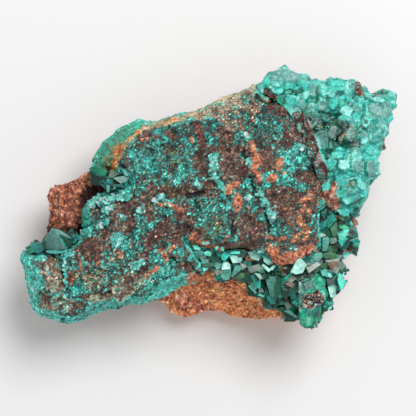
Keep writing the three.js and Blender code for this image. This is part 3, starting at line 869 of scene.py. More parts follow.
def crust_lift(points, normals, shares, walk):
    """How far the crust's surface stands out at each point, in mm."""
    side = steepness(normals, 0.2, 0.6)
    plain = np.clip(covered(shares, bank=1, line=1, straw=1, smooth_brown=0.7, rim=0.5), 0, 1)
    lift = relief(points, (0.26, 4.4, 0), (0.2, 2.0, 9))
    lift += (1 - 0.85 * plain) * relief(points, (0.2, 1.0, 5), (0.16, 0.5, 7))
    knobs, _ = cells(points, size=1.5, seed=4)
    lift += (0.14 + 0.3 * side) * (0.55 - knobs) * (1 - 0.6 * plain)
    holes, number = cells(points, size=1.9, seed=6)
    lift -= 0.55 * smooth(holes, 0.34, 0.2) * (number > 0.45) * (1 - plain)
    lift += 0.1 * (walk - 0.5) * (1 - plain)
    swell = 0.22 * plain * relief_noise(points + 3, 1.3)
    lift += swell + 0.1 * shares["orange"] * relief_noise(points + 1, 0.35)
    lift += 0.2 * shares["orange"]
    lift += 0.15 * shares["pale"]
    lift -= 0.15 * shares["brown"]
    return lift - 0.8 * shares["hole_shade"]


def close_to(points, nodes, reach):
    """How near each point is to some CAD nodes: 1 where it touches one, 0 beyond the reach in mm."""
    near = np.zeros(len(points))
    for number, point in enumerate(points.tolist()):
        for node in nodes:
            away = TREES[node].find_nearest(point, reach)[3]
            if away is not None:
                near[number] = max(near[number], 1 - away / reach)
    return near


def crust_shade(points, quads, shares, side):
    """How bright each point of the crust is: painted shade in creases and between its grains, a painted
    highlight on edges, and grit on its coarse parts.
    """
    normals = normals_of(points, quads)
    dark = crease_shade(points, quads, normals, times=6, crease=(0.6, 0.0, 0.13), edge=(0.12, 0.02, 0.12))
    even = covered(shares, bank=1, orange=1, line=1, straw=1) + 0.8 * side + 0.6 * shares["rim"]
    even = np.clip(even + covered(shares, pale_brown=0.5, tan=0.4), 0, 1)[:, None]
    # Painted shade between the grains: the coarse parts are darker than the even ones; tan parts are paler.
    dark *= (0.83 + 0.17 * even) * (1 + 0.25 * shares["tan"][:, None])
    grit = np.random.default_rng(19).normal(size=(len(points), 1))
    return dark * np.exp((0.54 - 0.36 * even) * grit)


def make_crust():
    """The crust's surface, coloured by its coats, as one piece; gives its points and quads."""
    points, quads = remeshed(node_mesh("mineral_crust"), step_size(full=0.234), passes=4)
    normals = normals_of(points, quads)
    shares = coat_shares(points)
    weights = crust_weights(points, normals, shares)
    side = steepness(normals, 0.45, 0.85)
    bands = wander(points * (0.6, 0.6, 1.4), 100)  # lie flat along the walls
    walk = laid_over(wander(points, 0), bands, side)
    fleck_walk = laid_over(wander(points, 300), bands, 0.7 * side)
    lift = crust_lift(points, normals, shares, walk)
    lift = lift + 0.35 * close_to(points, ("right_druse", "front_druse"), 1.0)
    points = shifted(points + normals * lift[:, None], OUTLINE_SHIFTS)
    # Painted shade in creases and between grains, and a painted highlight on edges, laid into both colours.
    dark = crust_shade(points, quads, shares, side)
    tint, fleck = coloured(weights, walk) * dark, coloured(weights, fleck_walk) * dark
    new_piece("crust", points, quads, tint, crust_stone, ["mineral_crust"], fleck=fleck)
    return points, quads


def open_places(points, quads, density, reach, draw):
    """Random places on the crust that lie clear of its neighbours, and the crust's normals there."""
    places, axes = scattered(points, quads, normals_of(points, quads), density, draw)
    keep = (axes[:, 2] > -0.35) & (draw.random(len(places)) < np.where(axes[:, 2] > 0.5, 1, 0.5))
    places, axes = places[keep], axes[keep]
    keep = clear_of(places, CRUST_NEIGHBOURS, reach)
    return places[keep], axes[keep]


def make_crust_grains(points, quads):
    """Fine points all over the crust, fewest where it is smooth."""
    draw = np.random.default_rng(12)
    places, axes = open_places(points, quads, SPIKES, reach=0.05, draw=draw)
    shares = coat_shares(places)
    bare = covered(shares, bank=0.98, line=0.8, smooth_brown=0.6)
    bare += covered(shares, orange=0.7, rim=0.5, pale_brown=0.4, pale=0.95, brown=0.1)
    bare += 0.92 * steepness(axes, 0.4, 0.8) + 0.9 * shares["straw"] + 0.6 * shares["blood"]
    keep = draw.random(len(places)) > bare
    places, axes = places[keep], axes[keep]
    shares = {name: share[keep] for name, share in shares.items()}
    walk = evenly(wander(places, 0) + 0.38 * draw.normal(size=len(places)))
    chosen = chosen_colours(crust_weights(places, axes, shares), walk)
    shiny = np.isin(chosen, CRYSTAL_COLOURS)
    sizes = np.where(shiny, draw.uniform(0.16, 0.38, len(places)), draw.uniform(0.14, 0.32, len(places)))
    sizes *= 1 - 0.35 * steepness(axes, 0.2, 0.6)
    tint = PALETTE[chosen] * np.clip(np.exp(0.38 * draw.normal(size=(len(places), 1))), 0.4, 1.8)
    parts = np.array_split(np.arange(len(places)), max(1, math.ceil(len(places) / MOST_SPIKES)))
    for number, part in enumerate(parts, 1):
        shape, faces = spikes(places[part], axes[part], sizes[part], draw)
        shades = np.repeat(tint[part], len(SPIKE), axis=0)
        new_piece(f"crust_grains_{number}", shape, faces, shades, crust_grain, flat=True)


def make_crust_crystals(points, quads):
    """Small dioptase crystals where the crust is pale, cyan or teal."""
    draw = np.random.default_rng(31)
    places, axes = open_places(points, quads, CRUST_CRYSTALS, reach=0.5, draw=draw)
    shares = coat_shares(places)
    side = steepness(axes, 0.2, 0.6)
    likely = 0.06 + 0.8 * shares["pale"] + 0.4 * shares["cyan"] + 0.2 * shares["teal"] + 0.15 * side
    plain = covered(shares, bank=1, line=1, straw=1, orange=1, brown=1) + 0.7 * side
    likely *= 1 - np.clip(plain, 0, 1)
    keep = draw.random(len(places)) < likely
    places, axes = places[keep], axes[keep]
    weights = crust_weights(places, axes, {name: share[keep] for name, share in shares.items()})
    low = np.cumsum(weights, axis=1)[:, NAMES.index("moss")]  # the share of the rock colours, left out
    tint = coloured(weights, low + (1 - low) * draw.random(len(places)))
    widths = draw.uniform(0.3, 0.6, len(places))
    axes = leaning(axes, 0.5, draw)
    lengths = widths * draw.uniform(0.5, 0.9, len(places)) + 0.4
    shape, faces, ends = prisms(places - 0.4 * axes, axes, widths, lengths, draw)
    tint = repeated_tint(tint, 0.85, 1.15, PRISM_CORNERS, draw)
    new_piece("crust_crystals", shape, [faces, ends], tint, pale_dioptase, flat=True)


# ---- The rock ------------------------------------------------------------------------------------------

ROCK_GRAINS = 7.0  # to a square mm
# Strokes over the ledge, its red parts, the block on the left and the block's sunlit parts; elsewhere the
# block is painted dark as painted shade.
LEDGE_STROKE = [(34, (180, 322), (220, 300), (262, 312), (300, 326))]
LEDGE_RED = [(9, (184, 300), (206, 312)), (4, (206, 284), (236, 282)), (4, (288, 318), (298, 321))]
BLOCK_STROKE = [(30, (62, 196), (80, 196), (76, 216))]
BLOCK_LIT = [(17, (62, 198), (66, 210)), (8, (76, 184), (86, 178)), (8, (58, 224), (52, 206))]


def rock_weights(points):
    """The colour shares at points of the rock."""
    spots = pixels(points)
    wobble = patch_noise.rough(points, 5, 3)
    fine = patch_noise.rough(points + 50, 1.6, 3)
    block = stroke_share(BLOCK_STROKE, spots, 2, 4 * wobble) * smooth(points[:, 2], 3, 8)
    lit = stroke_share(BLOCK_LIT, spots, 3, 3 * fine) * block
    sand = stroke_share(LEDGE_STROKE, spots, 2, 4 * wobble)
    red = stroke_share(LEDGE_RED, spots, 3, 4 * fine) * sand
    # The block takes a dark mix as painted shade, and its own rust colour where it is sunlit.
    coats = [
        ("iron", np.ones(len(points))), ("sand", 0.7 * smooth(wobble, 0.25, 0.6)), ("block_painted_shade", block),
        ("rust_block", lit), ("sand", sand), ("red_sand", red),
    ]
    return blend_of(coats, len(points))


def make_rock():
    """The rock's surface as one piece; gives its points and quads."""
    points, quads = remeshed(node_mesh("matrix_rock"), step_size(full=0.3), passes=1)
    normals = normals_of(points, quads)
    weights = rock_weights(points)
    walk = wander(points, 0, ROCK_LUMPS)
    lift = relief(points, (0.28, 3.4, 0), (0.24, 1.5, 9))
    lift += relief(points, (0.16, 0.7, 5)) + 0.12 * (walk - 0.5)
    knobs, _ = cells(points, size=1.8, seed=9)
    lift += 0.2 * (0.55 - knobs)
    lift *= smooth(points[:, 2], 0.2, 1.2)  # the resting face stays flat
    tint, fleck = coloured(weights, walk), coloured(weights, wander(points, 2, ROCK_LUMPS))
    points = points + normals * lift[:, None]
    points = shifted(points, ROCK_SHIFTS, smooth(points[:, 2], 0.5, 6))
    normals = normals_of(points, quads)
    # Painted shade in the rock's creases and a painted highlight on its edges.
    dark = crease_shade(points, quads, normals, times=5, crease=(0.6, 0.0, 0.16), edge=(0.15, 0.02, 0.14))
    # Painted light: the ledge is painted brighter, standing in for light that the crust's shadow keeps off
    # it.
    dark *= 1 + 0.55 * stroke_share(LEDGE_STROKE, pixels(points), 2)[:, None]
    tint, fleck = tint * dark, fleck * dark
    new_piece("rock", points, quads, tint, rock_stone, ["matrix_rock"], fleck=fleck)
    return points, quads


def make_rock_grains(points, quads):
    """Loose-looking grains over the rock, fewer where it is sandy."""
    draw = np.random.default_rng(5)
    places, axes = scattered(points, quads, normals_of(points, quads), ROCK_GRAINS, draw)
    on_sand = stroke_share(LEDGE_STROKE + BLOCK_LIT, pixels(places), 3)
    shows = draw.random(len(places)) < np.where(axes[:, 2] > 0.3, 1, 0.4) * (1 - 0.55 * on_sand)
    keep = (places[:, 2] > 1.0) & shows
    places, axes = places[keep], axes[keep]
    keep = clear_of(places, [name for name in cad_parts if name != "matrix_rock"], 0.5)
    places, axes = places[keep], axes[keep]
    walk = evenly(wander(places, 0, ROCK_LUMPS) + 0.25 * draw.normal(size=len(places)))
    tint = coloured(rock_weights(places), walk)
    sizes = draw.uniform(0.22, 0.55, len(places))
    shape, faces = spikes(places, axes, sizes, draw)
    tint = repeated_tint(tint, 0.8, 1.2, len(SPIKE), draw)
    new_piece("rock_grains", shape, faces, tint, rock_grain, flat=True)


# ---- Crystals placed one by one ------------------------------------------------------------------------

SIDE_COLOURS = {  # the colour of a crystal's sides under a top of each colour, where it isn't deep green
    "ice": "teal", "mint": "teal", "turquoise": "teal", "grey_teal": "bottle", "teal": "bottle",
    "grey": "moss", "emerald": "bottle", "moss": "bottle", "pink": "maroon", "rust": "maroon",
    "grey_brown": "dark_brown",
}

# The crystals seen in the picture: the colour of the top face, how far it stands out in mm, its slope and
# the way it falls, as degrees anticlockwise from the picture's right, and the corners of its outline in
# pixels.
# In the pocket the pale tops, ice, mint, grey and grey teal, are painted reflections of the light on glossy
# faces.
POCKET_FACETS = [
    ("ice", 0.6, 0.15, 250, (230, 256), (233, 254.4), (239, 254.4), (241.8, 260), (239.6, 262.4),
     (233, 262.8)),
    ("ice", 0.65, 0.2, 280, (248.4, 252.4), (252, 251), (260, 254.4), (260, 258), (258, 260.4),
     (252, 258.6)),
    ("rust", 0.65, 0.3, 200, (245.8, 258), (248.6, 255.2), (250.4, 257.4), (254, 258.6), (253, 260.6),
     (247, 260.4)),
    ("grey_teal", 0.5, 0.4, 250, (243.5, 262), (246, 260), (253, 260.8), (253, 263), (248.2, 265.4),
     (244.5, 265)),
    ("ice", 0.6, 0.2, 300, (263.8, 257), (267, 255.8), (270.4, 257.8), (272.6, 263.4), (268, 264.4),
     (264.2, 261.2)),
    ("ice", 0.55, 0.1, 230, (261.4, 265.6), (263.4, 264.2), (270.8, 269.4), (268.4, 271.8)),
    ("ice", 0.55, 0.1, 320, (270.4, 268.2), (274, 265), (275.8, 266.2), (272.2, 270.2)),
    ("mint", 0.5, 0.2, 300, (262.4, 251.6), (265, 250), (267.2, 252.4), (266, 255), (263.2, 255)),
    ("turquoise", 0.5, 0.3, 240, (221.4, 256), (224, 252.4), (228, 252.2), (229.4, 255), (225, 260.8),
     (222, 259.4)),
    ("mint", 0.7, 0.3, 240, (223.2, 255.4), (226.8, 254.2), (227.6, 256.4), (224.8, 258.2)),
    ("turquoise", 0.4, 0.3, 90, (229.8, 253.6), (233.6, 251.4), (239.6, 251.6), (239.4, 253.8)),
    ("teal", 0.4, 0.3, 200, (216, 251), (219.4, 249.4), (221.8, 252.4), (221, 256.2), (217.4, 255.6)),
    ("mint", 0.5, 0.2, 200, (204.4, 252.6), (208, 251.4), (211.8, 253.4), (210, 256), (205.4, 255.2)),
    ("grey_teal", 0.5, 0.3, 240, (194.4, 251.6), (199.6, 250.4), (203.6, 252.4), (202.4, 257.6),
     (196.4, 259.4)),
    ("turquoise", 0.5, 0.3, 60, (192.8, 245.4), (196, 244.6), (200.2, 248), (199.6, 250), (194.6, 249)),
    ("mint", 0.7, 0.25, 150, (181.6, 243), (185, 239), (189.4, 238.6), (191, 243), (186, 247),
     (182.6, 247.4)),
    ("grey_teal", 0.6, 0.4, 200, (182.8, 247.8), (186.4, 247.2), (189, 249), (187, 252), (183, 252)),
    ("teal", 0.5, 0.2, 200, (181.4, 254), (186, 252.6), (191.8, 252.6), (193.8, 257.4), (187, 260.8),
     (182, 258)),
    ("grey_teal", 0.25, 0.3, 200, (201.4, 262), (205, 259.8), (208.2, 260.6), (207, 263.6), (203, 264.2)),
    ("bottle", 0.15, 0.1, 90, (202.4, 264.8), (207.4, 263.2), (213.4, 263), (213.4, 266.2), (204, 266.6)),
    ("mint", 0.45, 0.2, 120, (202.4, 267.4), (206.6, 266.8), (207.4, 269), (204, 270.6)),
    ("teal", 0.4, 0.35, 260, (205, 269.6), (208.2, 267), (213.6, 266.8), (213.8, 276), (210.6, 281),
     (206, 281.2)),
    ("grey_teal", 0.4, 0.3, 120, (215.8, 262.4), (219.6, 264), (220.8, 267.4), (217, 269.2), (214.4, 266)),
    ("grey", 0.3, 0.3, 300, (214.4, 269.6), (219, 269.6), (219.8, 273.4), (216.4, 275.4)),
    ("teal", 0.3, 0.3, 300, (214.8, 276), (219, 274.6), (220.8, 278), (216, 281)),
    ("grey_teal", 0.5, 0.4, 250, (221, 270), (230, 269.2), (231.2, 273.6), (228.6, 279.2), (224, 279.8),
     (221, 276.4)),
    ("ice", 0.6, 0.5, 70, (222.2, 267), (224, 262.6), (227, 262.2), (229.4, 264.4), (230.2, 268.6),
     (222, 269.4)),
    ("grey_teal", 0.4, 0.45, 240, (235.4, 266.4), (240.8, 266), (240.6, 270), (233, 276.6), (231.4, 276)),
    ("grey", 0.35, 0.3, 30, (240.4, 263.4), (244, 264.4), (247.4, 267), (242, 269.8)),
    ("grey", 0.4, 0.3, 280, (248, 267), (258.6, 264.6), (261.2, 268.6), (257.4, 270.4), (251.6, 272.8),
     (249.4, 270.8)),
    ("grey_teal", 0.3, 0.4, 300, (257.4, 270.8), (261.4, 268.8), (264.4, 272.8), (260.4, 272.6)),
    ("moss", 0.2, 0.4, 220, (235.6, 277.6), (241, 273.6), (244.2, 274), (243, 277.2), (239, 279.4)),
    ("teal", 0.6, 0.45, 215, (251, 276.4), (254.2, 274.6), (260.2, 279.6), (260.2, 288.6), (256.6, 287)),
    ("grey_teal", 0.4, 0.6, 215, (249, 280), (251.8, 279), (256.4, 287.8), (255, 290.2), (250.8, 288)),
    ("grey_teal", 0.7, 0.3, 60, (254.8, 273.2), (260, 274.2), (262.2, 278.2), (260, 279.4)),
    ("bottle", 0.4, 0.5, 0, (260.6, 278), (264, 275.2), (266.2, 281), (263.6, 287), (260.6, 288.8)),
    ("grey", 0.3, 0.2, 250, (258.4, 289.6), (262, 288.4), (263.6, 291.8), (259.6, 292.6)),
    ("teal", 0.3, 0.4, 240, (263.6, 288.4), (266.4, 288), (268.8, 295), (266, 297)),
    ("grey_teal", 1.0, 0.35, 250, (265.8, 279.8), (270, 277.4), (276.4, 276.6), (274.6, 296.8),
     (270.2, 294.4)),
    ("bottle", 0.7, 0.6, 330, (276.8, 276.8), (280.8, 279), (281.8, 290), (275.6, 300), (275, 296)),
    ("sea", 0.2, 0.4, 330, (277.4, 298), (281.2, 293), (283.6, 297), (280, 302)),
    ("teal", 0.3, 0.5, 250, (266.4, 297.8), (270.4, 295.2), (274.4, 298.4), (275.4, 303.4), (270.6, 304)),
    ("mint", 0.15, 0.3, 230, (248.6, 286.4), (250, 285.6), (256.4, 292), (255.2, 293.6)),
    ("mint", 0.15, 0.3, 230, (255.4, 293.8), (256.6, 292.2), (263.8, 295.6), (263.2, 297.2)),
    ("deep_green", 0.2, 0.3, 240, (282.4, 288), (287, 286.4), (290.4, 291), (286.6, 299), (283, 296)),
    ("bottle", 0.25, 0.4, 250, (280.6, 274), (285, 277), (284.6, 283), (282, 282)),
    ("brown", 0.3, 0.2, 90, (284.6, 284), (289, 282.6), (294.4, 284), (292, 287.6)),
    ("sea", 0.25, 0.3, 280, (289, 291), (293.4, 289), (295.4, 296), (291.6, 300)),
    ("ice", 0.8, 0.3, 250, (291, 272), (297, 260.2), (300.2, 258.4), (306.4, 264.6), (302.4, 272.6),
     (296, 274)),
    ("turquoise", 0.5, 0.4, 230, (283.8, 279), (290, 272.8), (291.6, 274), (286, 281)),
    ("grey", 0.3, 0.3, 250, (286, 281.6), (292, 275.4), (296.4, 278.4), (292, 282.2)),
    # This deep green face is painted shade between the crystals.
    ("deep_green", 0.2, 0.3, 90, (293, 275.4), (303, 274), (308, 273.6), (304, 278), (297.4, 281)),
    ("grey", 0.35, 0.3, 60, (306.4, 267), (311, 262.8), (318, 262.2), (320.2, 265), (309, 272.8)),
    ("teal", 0.3, 0.3, 90, (311, 258.8), (315, 253.4), (321.2, 252.6), (322, 257), (318, 261.6)),
    ("turquoise", 0.5, 0.2, 90, (313, 256), (316.6, 253.8), (318.2, 257.4), (315, 260.2)),
    ("grey_teal", 0.4, 0.3, 120, (314.8, 231.4), (318, 229), (320.2, 232), (318, 235.2)),
    ("grey", 0.4, 0.3, 60, (318.6, 234), (323, 232.8), (326.2, 236), (320.4, 237.2)),
    ("teal", 0.4, 0.4, 150, (316, 226.6), (322, 222), (327.6, 219), (325, 226.2), (319.6, 229.6)),
    ("bottle", 0.3, 0.4, 300, (324.2, 227.6), (329, 230.8), (332.6, 236), (327, 237)),
    ("sea", 0.3, 0.4, 240, (318.4, 231), (323.4, 228.6), (326, 234), (322, 233)),
    ("teal", 0.5, 0.3, 200, (327.8, 217.4), (333, 214.4), (336.2, 220), (329, 228.2), (325.6, 225.4)),
    ("moss", 0.3, 0.3, 330, (330.6, 229), (336.6, 222), (337.6, 236), (333, 236)),
    ("grey_teal", 0.6, 0.35, 260, (322.6, 238.4), (328, 237.4), (329.4, 241), (327, 250.6), (322.6, 251.2)),
    ("deep_green", 0.2, 0.4, 180, (319.4, 238), (322, 237.4), (322.2, 251), (320.2, 250)),
    ("bottle", 0.3, 0.2, 60, (330, 238.4), (336, 237.6), (337.6, 243), (331, 243.6)),
    ("moss", 0.4, 0.3, 300, (328.2, 246.4), (333, 243.8), (337.2, 245), (337, 251.2), (328, 252.6)),
    ("emerald", 0.6, 0.4, 90, (339.6, 227.4), (344, 224.8), (349.2, 228), (344.4, 230.2)),
    ("mint", 0.6, 0.35, 250, (337.8, 234), (344, 230.4), (348.8, 229.8), (344, 241), (339.6, 239)),
    ("turquoise", 0.45, 0.5, 250, (338.2, 239.8), (343.8, 241.4), (347.2, 237), (342, 246.8)),
    ("teal", 0.4, 0.3, 300, (337.8, 244.6), (341.8, 247), (343.2, 252), (340, 256.6)),
    ("moss", 0.3, 0.3, 270, (322, 254), (330, 252.8), (336, 254.2), (338.2, 257), (331, 259.8),
     (324.4, 258.2)),
    ("grey", 0.3, 0.3, 90, (325, 260.6), (332, 259.8), (338.4, 258.4), (338, 261.4), (328, 262.4)),
    ("grey_brown", 0.45, 0.3, 300, (328.2, 264), (333, 261.8), (338.2, 262.2), (338, 266.2),
     (332.2, 270.6)),
    ("moss", 0.35, 0.3, 200, (320.2, 265.2), (326, 262.2), (328.2, 264), (326, 268.2), (322, 268.4)),
    ("grey", 0.3, 0.3, 330, (331, 271.2), (336, 267), (339.2, 269), (337, 273.2)),
    ("bottle", 0.15, 0.1, 90, (311.8, 268.6), (317, 265.8), (319.2, 270), (315, 273.6)),
    ("teal", 0.3, 0.4, 60, (320.8, 271), (326, 268.8), (331.2, 272), (329, 277.2), (322.4, 275.2)),
    ("turquoise", 0.5, 0.3, 60, (327, 273.6), (329.6, 272.4), (332.4, 276.4), (329.6, 277.4)),
    ("ice", 0.35, 0.4, 200, (296.2, 283.4), (300, 281.6), (302.2, 282.6), (304.2, 291), (301, 293.6),
     (297.6, 291)),
    ("grey_teal", 0.4, 0.4, 110, (301.4, 281.2), (306, 277.8), (311.2, 276.4), (311.6, 279.2),
     (305, 282.2)),
    ("sea", 0.25, 0.2, 90, (303.6, 283.4), (311, 280), (312.4, 286), (306, 289.6)),
    ("deep_green", 0.2, 0.3, 30, (326, 276.6), (331, 277.8), (337.2, 277), (335, 283.6), (328, 284.4)),
    ("ice", 0.3, 0.6, 0, (328, 286.4), (333, 284.2), (336.2, 286.4), (335.4, 296), (331, 299.4)),
    ("moss", 0.2, 0.3, 330, (316, 311), (319, 307.6), (323.6, 308), (323.8, 313), (319.4, 317.4)),
    ("turquoise", 0.3, 0.2, 180, (292, 302.6), (295, 299.4), (298.8, 302), (297, 306)),
    ("grey", 0.2, 0.2, 240, (283.2, 302), (287, 300.6), (290.2, 306), (288, 311.2)),
    ("grey_teal", 0.2, 0.3, 240, (284.6, 311.2), (289.6, 310.6), (297, 316.2), (295.6, 318.2)),
    ("teal", 0.3, 0.3, 0, (355.8, 228), (359, 229.6), (359.4, 242), (356, 249), (353.8, 241)),
    ("mint", 0.3, 0.2, 330, (344.6, 253.4), (351, 251.8), (353.2, 255), (347.6, 261)),
    ("turquoise", 0.4, 0.2, 30, (339.2, 273), (342.4, 277), (344.8, 282.4), (341, 290.4), (338, 280)),
]
BAND_FACETS = [
    ("grey_teal", 0.5, 0.2, 110, (276, 72), (281, 69), (288, 69), (296, 72), (301, 76), (300, 82),
     (292, 82), (283, 80), (277, 78)),
    ("mint", 0.4, 0.3, 160, (271, 82), (274, 80.5), (278, 83), (281, 87), (276, 87), (272, 85)),
    ("turquoise", 0.3, 0.2, 250, (282, 82), (292, 83), (298, 82), (299, 88), (292, 89), (284, 87.5),
     (280, 87)),
    ("emerald", -0.5, 0.2, 80, (284, 88), (291, 90), (298, 89), (297, 94), (291, 95), (285, 94.5)),
    ("turquoise", 0.7, 0.15, 230, (287, 96), (290, 95), (294.5, 95), (297, 98), (298.5, 101), (297, 104.5),
     (293, 106), (289, 104.5), (286.5, 101), (285.5, 98)),
    ("grey_teal", 0.4, 0.2, 320, (298, 93), (302, 94), (303, 99), (302, 105), (299, 106), (299.5, 100)),
    ("mint", 0.6, 0.3, 30, (302.5, 93), (306, 91), (309, 94), (308, 98), (304.5, 100)),
    ("grey_teal", 0.5, 0.2, 60, (309, 84), (315, 83), (320, 86), (320, 93), (315, 97), (310, 95),
     (308, 89)),
    ("turquoise", 0.4, 0.2, 40, (321, 84), (327, 85), (327, 92), (325, 97), (321, 95)),
    ("mint", 0.9, 0.15, 200, (309, 103.5), (312, 102), (315, 104), (315, 108), (313, 111), (310, 112),
     (308, 108)),
    ("grey_teal", 0.4, 0.2, 150, (301, 101), (306, 103), (308, 109), (304, 111), (300, 108)),
    ("grey_teal", 0.6, 0.2, 20, (318, 102), (323, 100.5), (326, 103), (326.5, 108), (323, 111), (318, 110)),
    ("teal", 0.3, 0.3, 260, (311, 113), (317, 113), (321, 115), (320, 119), (313, 120)),
    ("turquoise", 0.5, 0.4, 230, (322, 113), (325, 114), (329, 121), (331, 125), (327, 123), (323, 118)),
    ("mint", 0.2, 0.5, 40, (303, 116), (306, 115), (307, 121), (309, 127), (310, 131), (307, 131),
     (304, 124)),
    ("grey", 0.1, 0.5, 20, (307, 115.5), (309.5, 118), (312, 122), (315, 126), (313, 129), (310, 127),
     (307.5, 121)),
    ("grey_teal", 0.5, 0.3, 200, (315, 133), (319, 130.5), (326, 131), (328, 137), (328, 145), (325, 150),
     (321, 148), (318, 141)),
    ("mint", 0.4, 0.5, 190, (314.5, 134), (317.5, 141), (320.5, 148), (321, 152), (318.5, 150),
     (315.5, 142), (313.5, 136)),
    ("grey", 0.4, 0.2, 300, (330, 128), (334, 125.5), (338, 128), (338, 134), (335, 139), (331, 138),
     (329, 133)),
    ("grey_teal", 0.3, 0.2, 250, (330, 141), (336, 141), (338, 146), (334, 150), (329, 149)),
    ("grey_teal", 0.5, 0.2, 20, (349, 127), (353, 128), (356, 132), (355, 137), (350, 141), (345.5, 139),
     (346, 133)),
    ("grey", 0.2, 0.2, 320, (351, 142), (355, 139), (359, 141), (359.5, 146), (354, 147.5), (350, 146)),
    ("mint", 1.1, 0.1, 60, (339, 112), (341, 108), (345, 105), (350, 107.5), (354, 109), (352, 113),
     (350, 118), (348, 120), (345, 117), (342, 113.5)),
    ("grey_teal", 0.6, 0.2, 80, (346, 102.5), (352, 101), (357, 103.5), (354.5, 107), (350, 106.5),
     (347, 105)),
    ("mint", 0.6, 0.3, 120, (328, 93), (331, 91.5), (335, 93), (333, 97), (329, 97)),
    ("turquoise", 0.6, 0.2, 210, (330, 98.5), (334, 97.5), (338, 99), (338, 103), (336, 108), (332, 110),
     (329, 106), (327.5, 102)),
    ("turquoise", 0.3, 0.3, 300, (353, 113), (357, 112), (361, 116), (360, 122), (355, 121), (352, 117)),
    ("emerald", 0.3, 0.3, 250, (350, 122), (356, 123), (360, 124), (357, 128), (353, 127)),
    ("amber", 0.5, 0.3, 60, (346, 127.5), (348.3, 128), (344.5, 135), (341, 142.5), (339.3, 141.8),
     (342.5, 134)),
    ("amber", 0.3, 0.3, 60, (318, 126.5), (323, 125), (328, 124.2), (328, 125.6), (322, 127), (318, 128)),
    ("mint", 0.8, 0.4, 170, (364, 103.5), (367, 102.5), (367.5, 108), (367, 114.5), (364, 114), (365, 108)),
    ("grey_teal", 0.7, 0.15, 20, (368.5, 105), (375, 102), (384, 104), (391, 107), (392, 113), (388, 118),
     (380, 119), (371, 117), (368.5, 112)),
    ("mint", 0.5, 0.3, 90, (369, 98), (375, 96), (381, 98), (386, 101), (382, 103), (374, 101)),
    ("emerald", 0.4, 0.3, 90, (373.5, 93), (377, 91), (383, 90), (388, 90.5), (388, 94), (383, 95),
     (377, 94)),
    ("mint", 0.6, 0.3, 40, (389, 91), (392, 90.5), (395, 94), (396, 97), (392, 98), (388.5, 95)),
    ("turquoise", 0.8, 0.15, 130, (330.5, 81), (340, 79.5), (346, 79), (345, 84), (343, 89), (336, 92),
     (331, 90)),
    ("mint", 0.7, 0.3, 60, (346.5, 79.5), (350, 80), (349, 85), (350, 91), (351, 97), (347, 97), (344, 91),
     (346, 85)),
    ("teal", 0.4, 0.5, 20, (351, 82), (353.5, 84), (354, 91), (352.5, 96), (350.5, 90), (350, 85)),
    ("sea", 0.1, 0.4, 270, (334, 92.5), (340, 90.5), (344.5, 90), (345, 94), (341, 96), (336, 95)),
    ("mint", 0.8, 0.15, 270, (351, 148), (355, 147), (359.5, 148), (360, 151), (357, 155), (354, 156.5),
     (351.5, 152)),
    ("turquoise", 0.7, 0.2, 230, (327, 160), (331, 158.5), (336, 161), (337, 163.5), (333, 168), (330, 171),
     (328, 167), (326.5, 163)),
    ("turquoise", 0.5, 0.2, 80, (331, 152), (337, 151), (345, 152), (347, 157), (340, 158), (332, 157.5)),
    ("mint", 0.7, 0.15, 60, (339, 160), (349, 159.5), (350, 167), (345, 171), (338, 168)),
    ("turquoise", 0.5, 0.2, 240, (335, 169.5), (342, 172), (343, 179), (338, 181), (334, 175)),
    ("turquoise", 0.4, 0.3, 250, (337, 182), (344, 179), (346, 182), (343.5, 186), (340, 185)),
    ("grey_teal", 0.4, 0.2, 340, (353, 162), (358, 160), (363, 163), (363, 170), (357, 173), (353, 169)),
    ("mint", 0.6, 0.4, 90, (346, 181), (350, 177.5), (357, 176.5), (362, 179), (357, 179.5), (350, 180)),
    ("mint", 0.7, 0.2, 330, (357, 181), (360, 180), (364, 182), (366.5, 188), (362, 190), (358, 187)),
    ("moss", -0.3, 0.2, 90, (345, 184), (349, 181), (355, 181), (356, 186), (350, 188), (345, 187)),
    ("turquoise", 0.4, 0.2, 20, (366, 146), (373, 142), (378, 145), (377, 153), (370, 155), (365, 151)),
    ("mint", 0.4, 0.2, 100, (361, 139), (366, 136.5), (369, 139), (365, 144), (361, 144)),
    ("teal", 0.4, 0.2, 20, (373, 133), (380, 132), (383, 138), (379, 143), (373, 140)),
    ("grey_teal", 0.4, 0.2, 10, (367, 161), (374, 160), (378, 165), (377, 173), (370, 176), (366, 170)),
    ("turquoise", 0.4, 0.2, 330, (363, 191), (367, 191), (367, 197), (362, 200), (359, 196)),
    ("turquoise", 0.4, 0.2, 250, (346, 195), (352, 194), (356, 197), (353, 202), (347, 201)),
    ("turquoise", 0.5, 0.2, 200, (341, 209), (347, 208), (350, 212), (348, 217), (342, 214)),
    ("grey_teal", 0.3, 0.2, 200, (345, 189), (351, 188.5), (354, 191), (350, 194), (346, 193)),
    ("mint", 0.4, 0.4, 340, (354, 191), (356, 186.5), (359, 187), (357, 190.5), (355, 193)),
    ("turquoise", 0.4, 0.3, 320, (359, 203), (363, 199), (364, 202), (361, 207), (358, 209)),
]
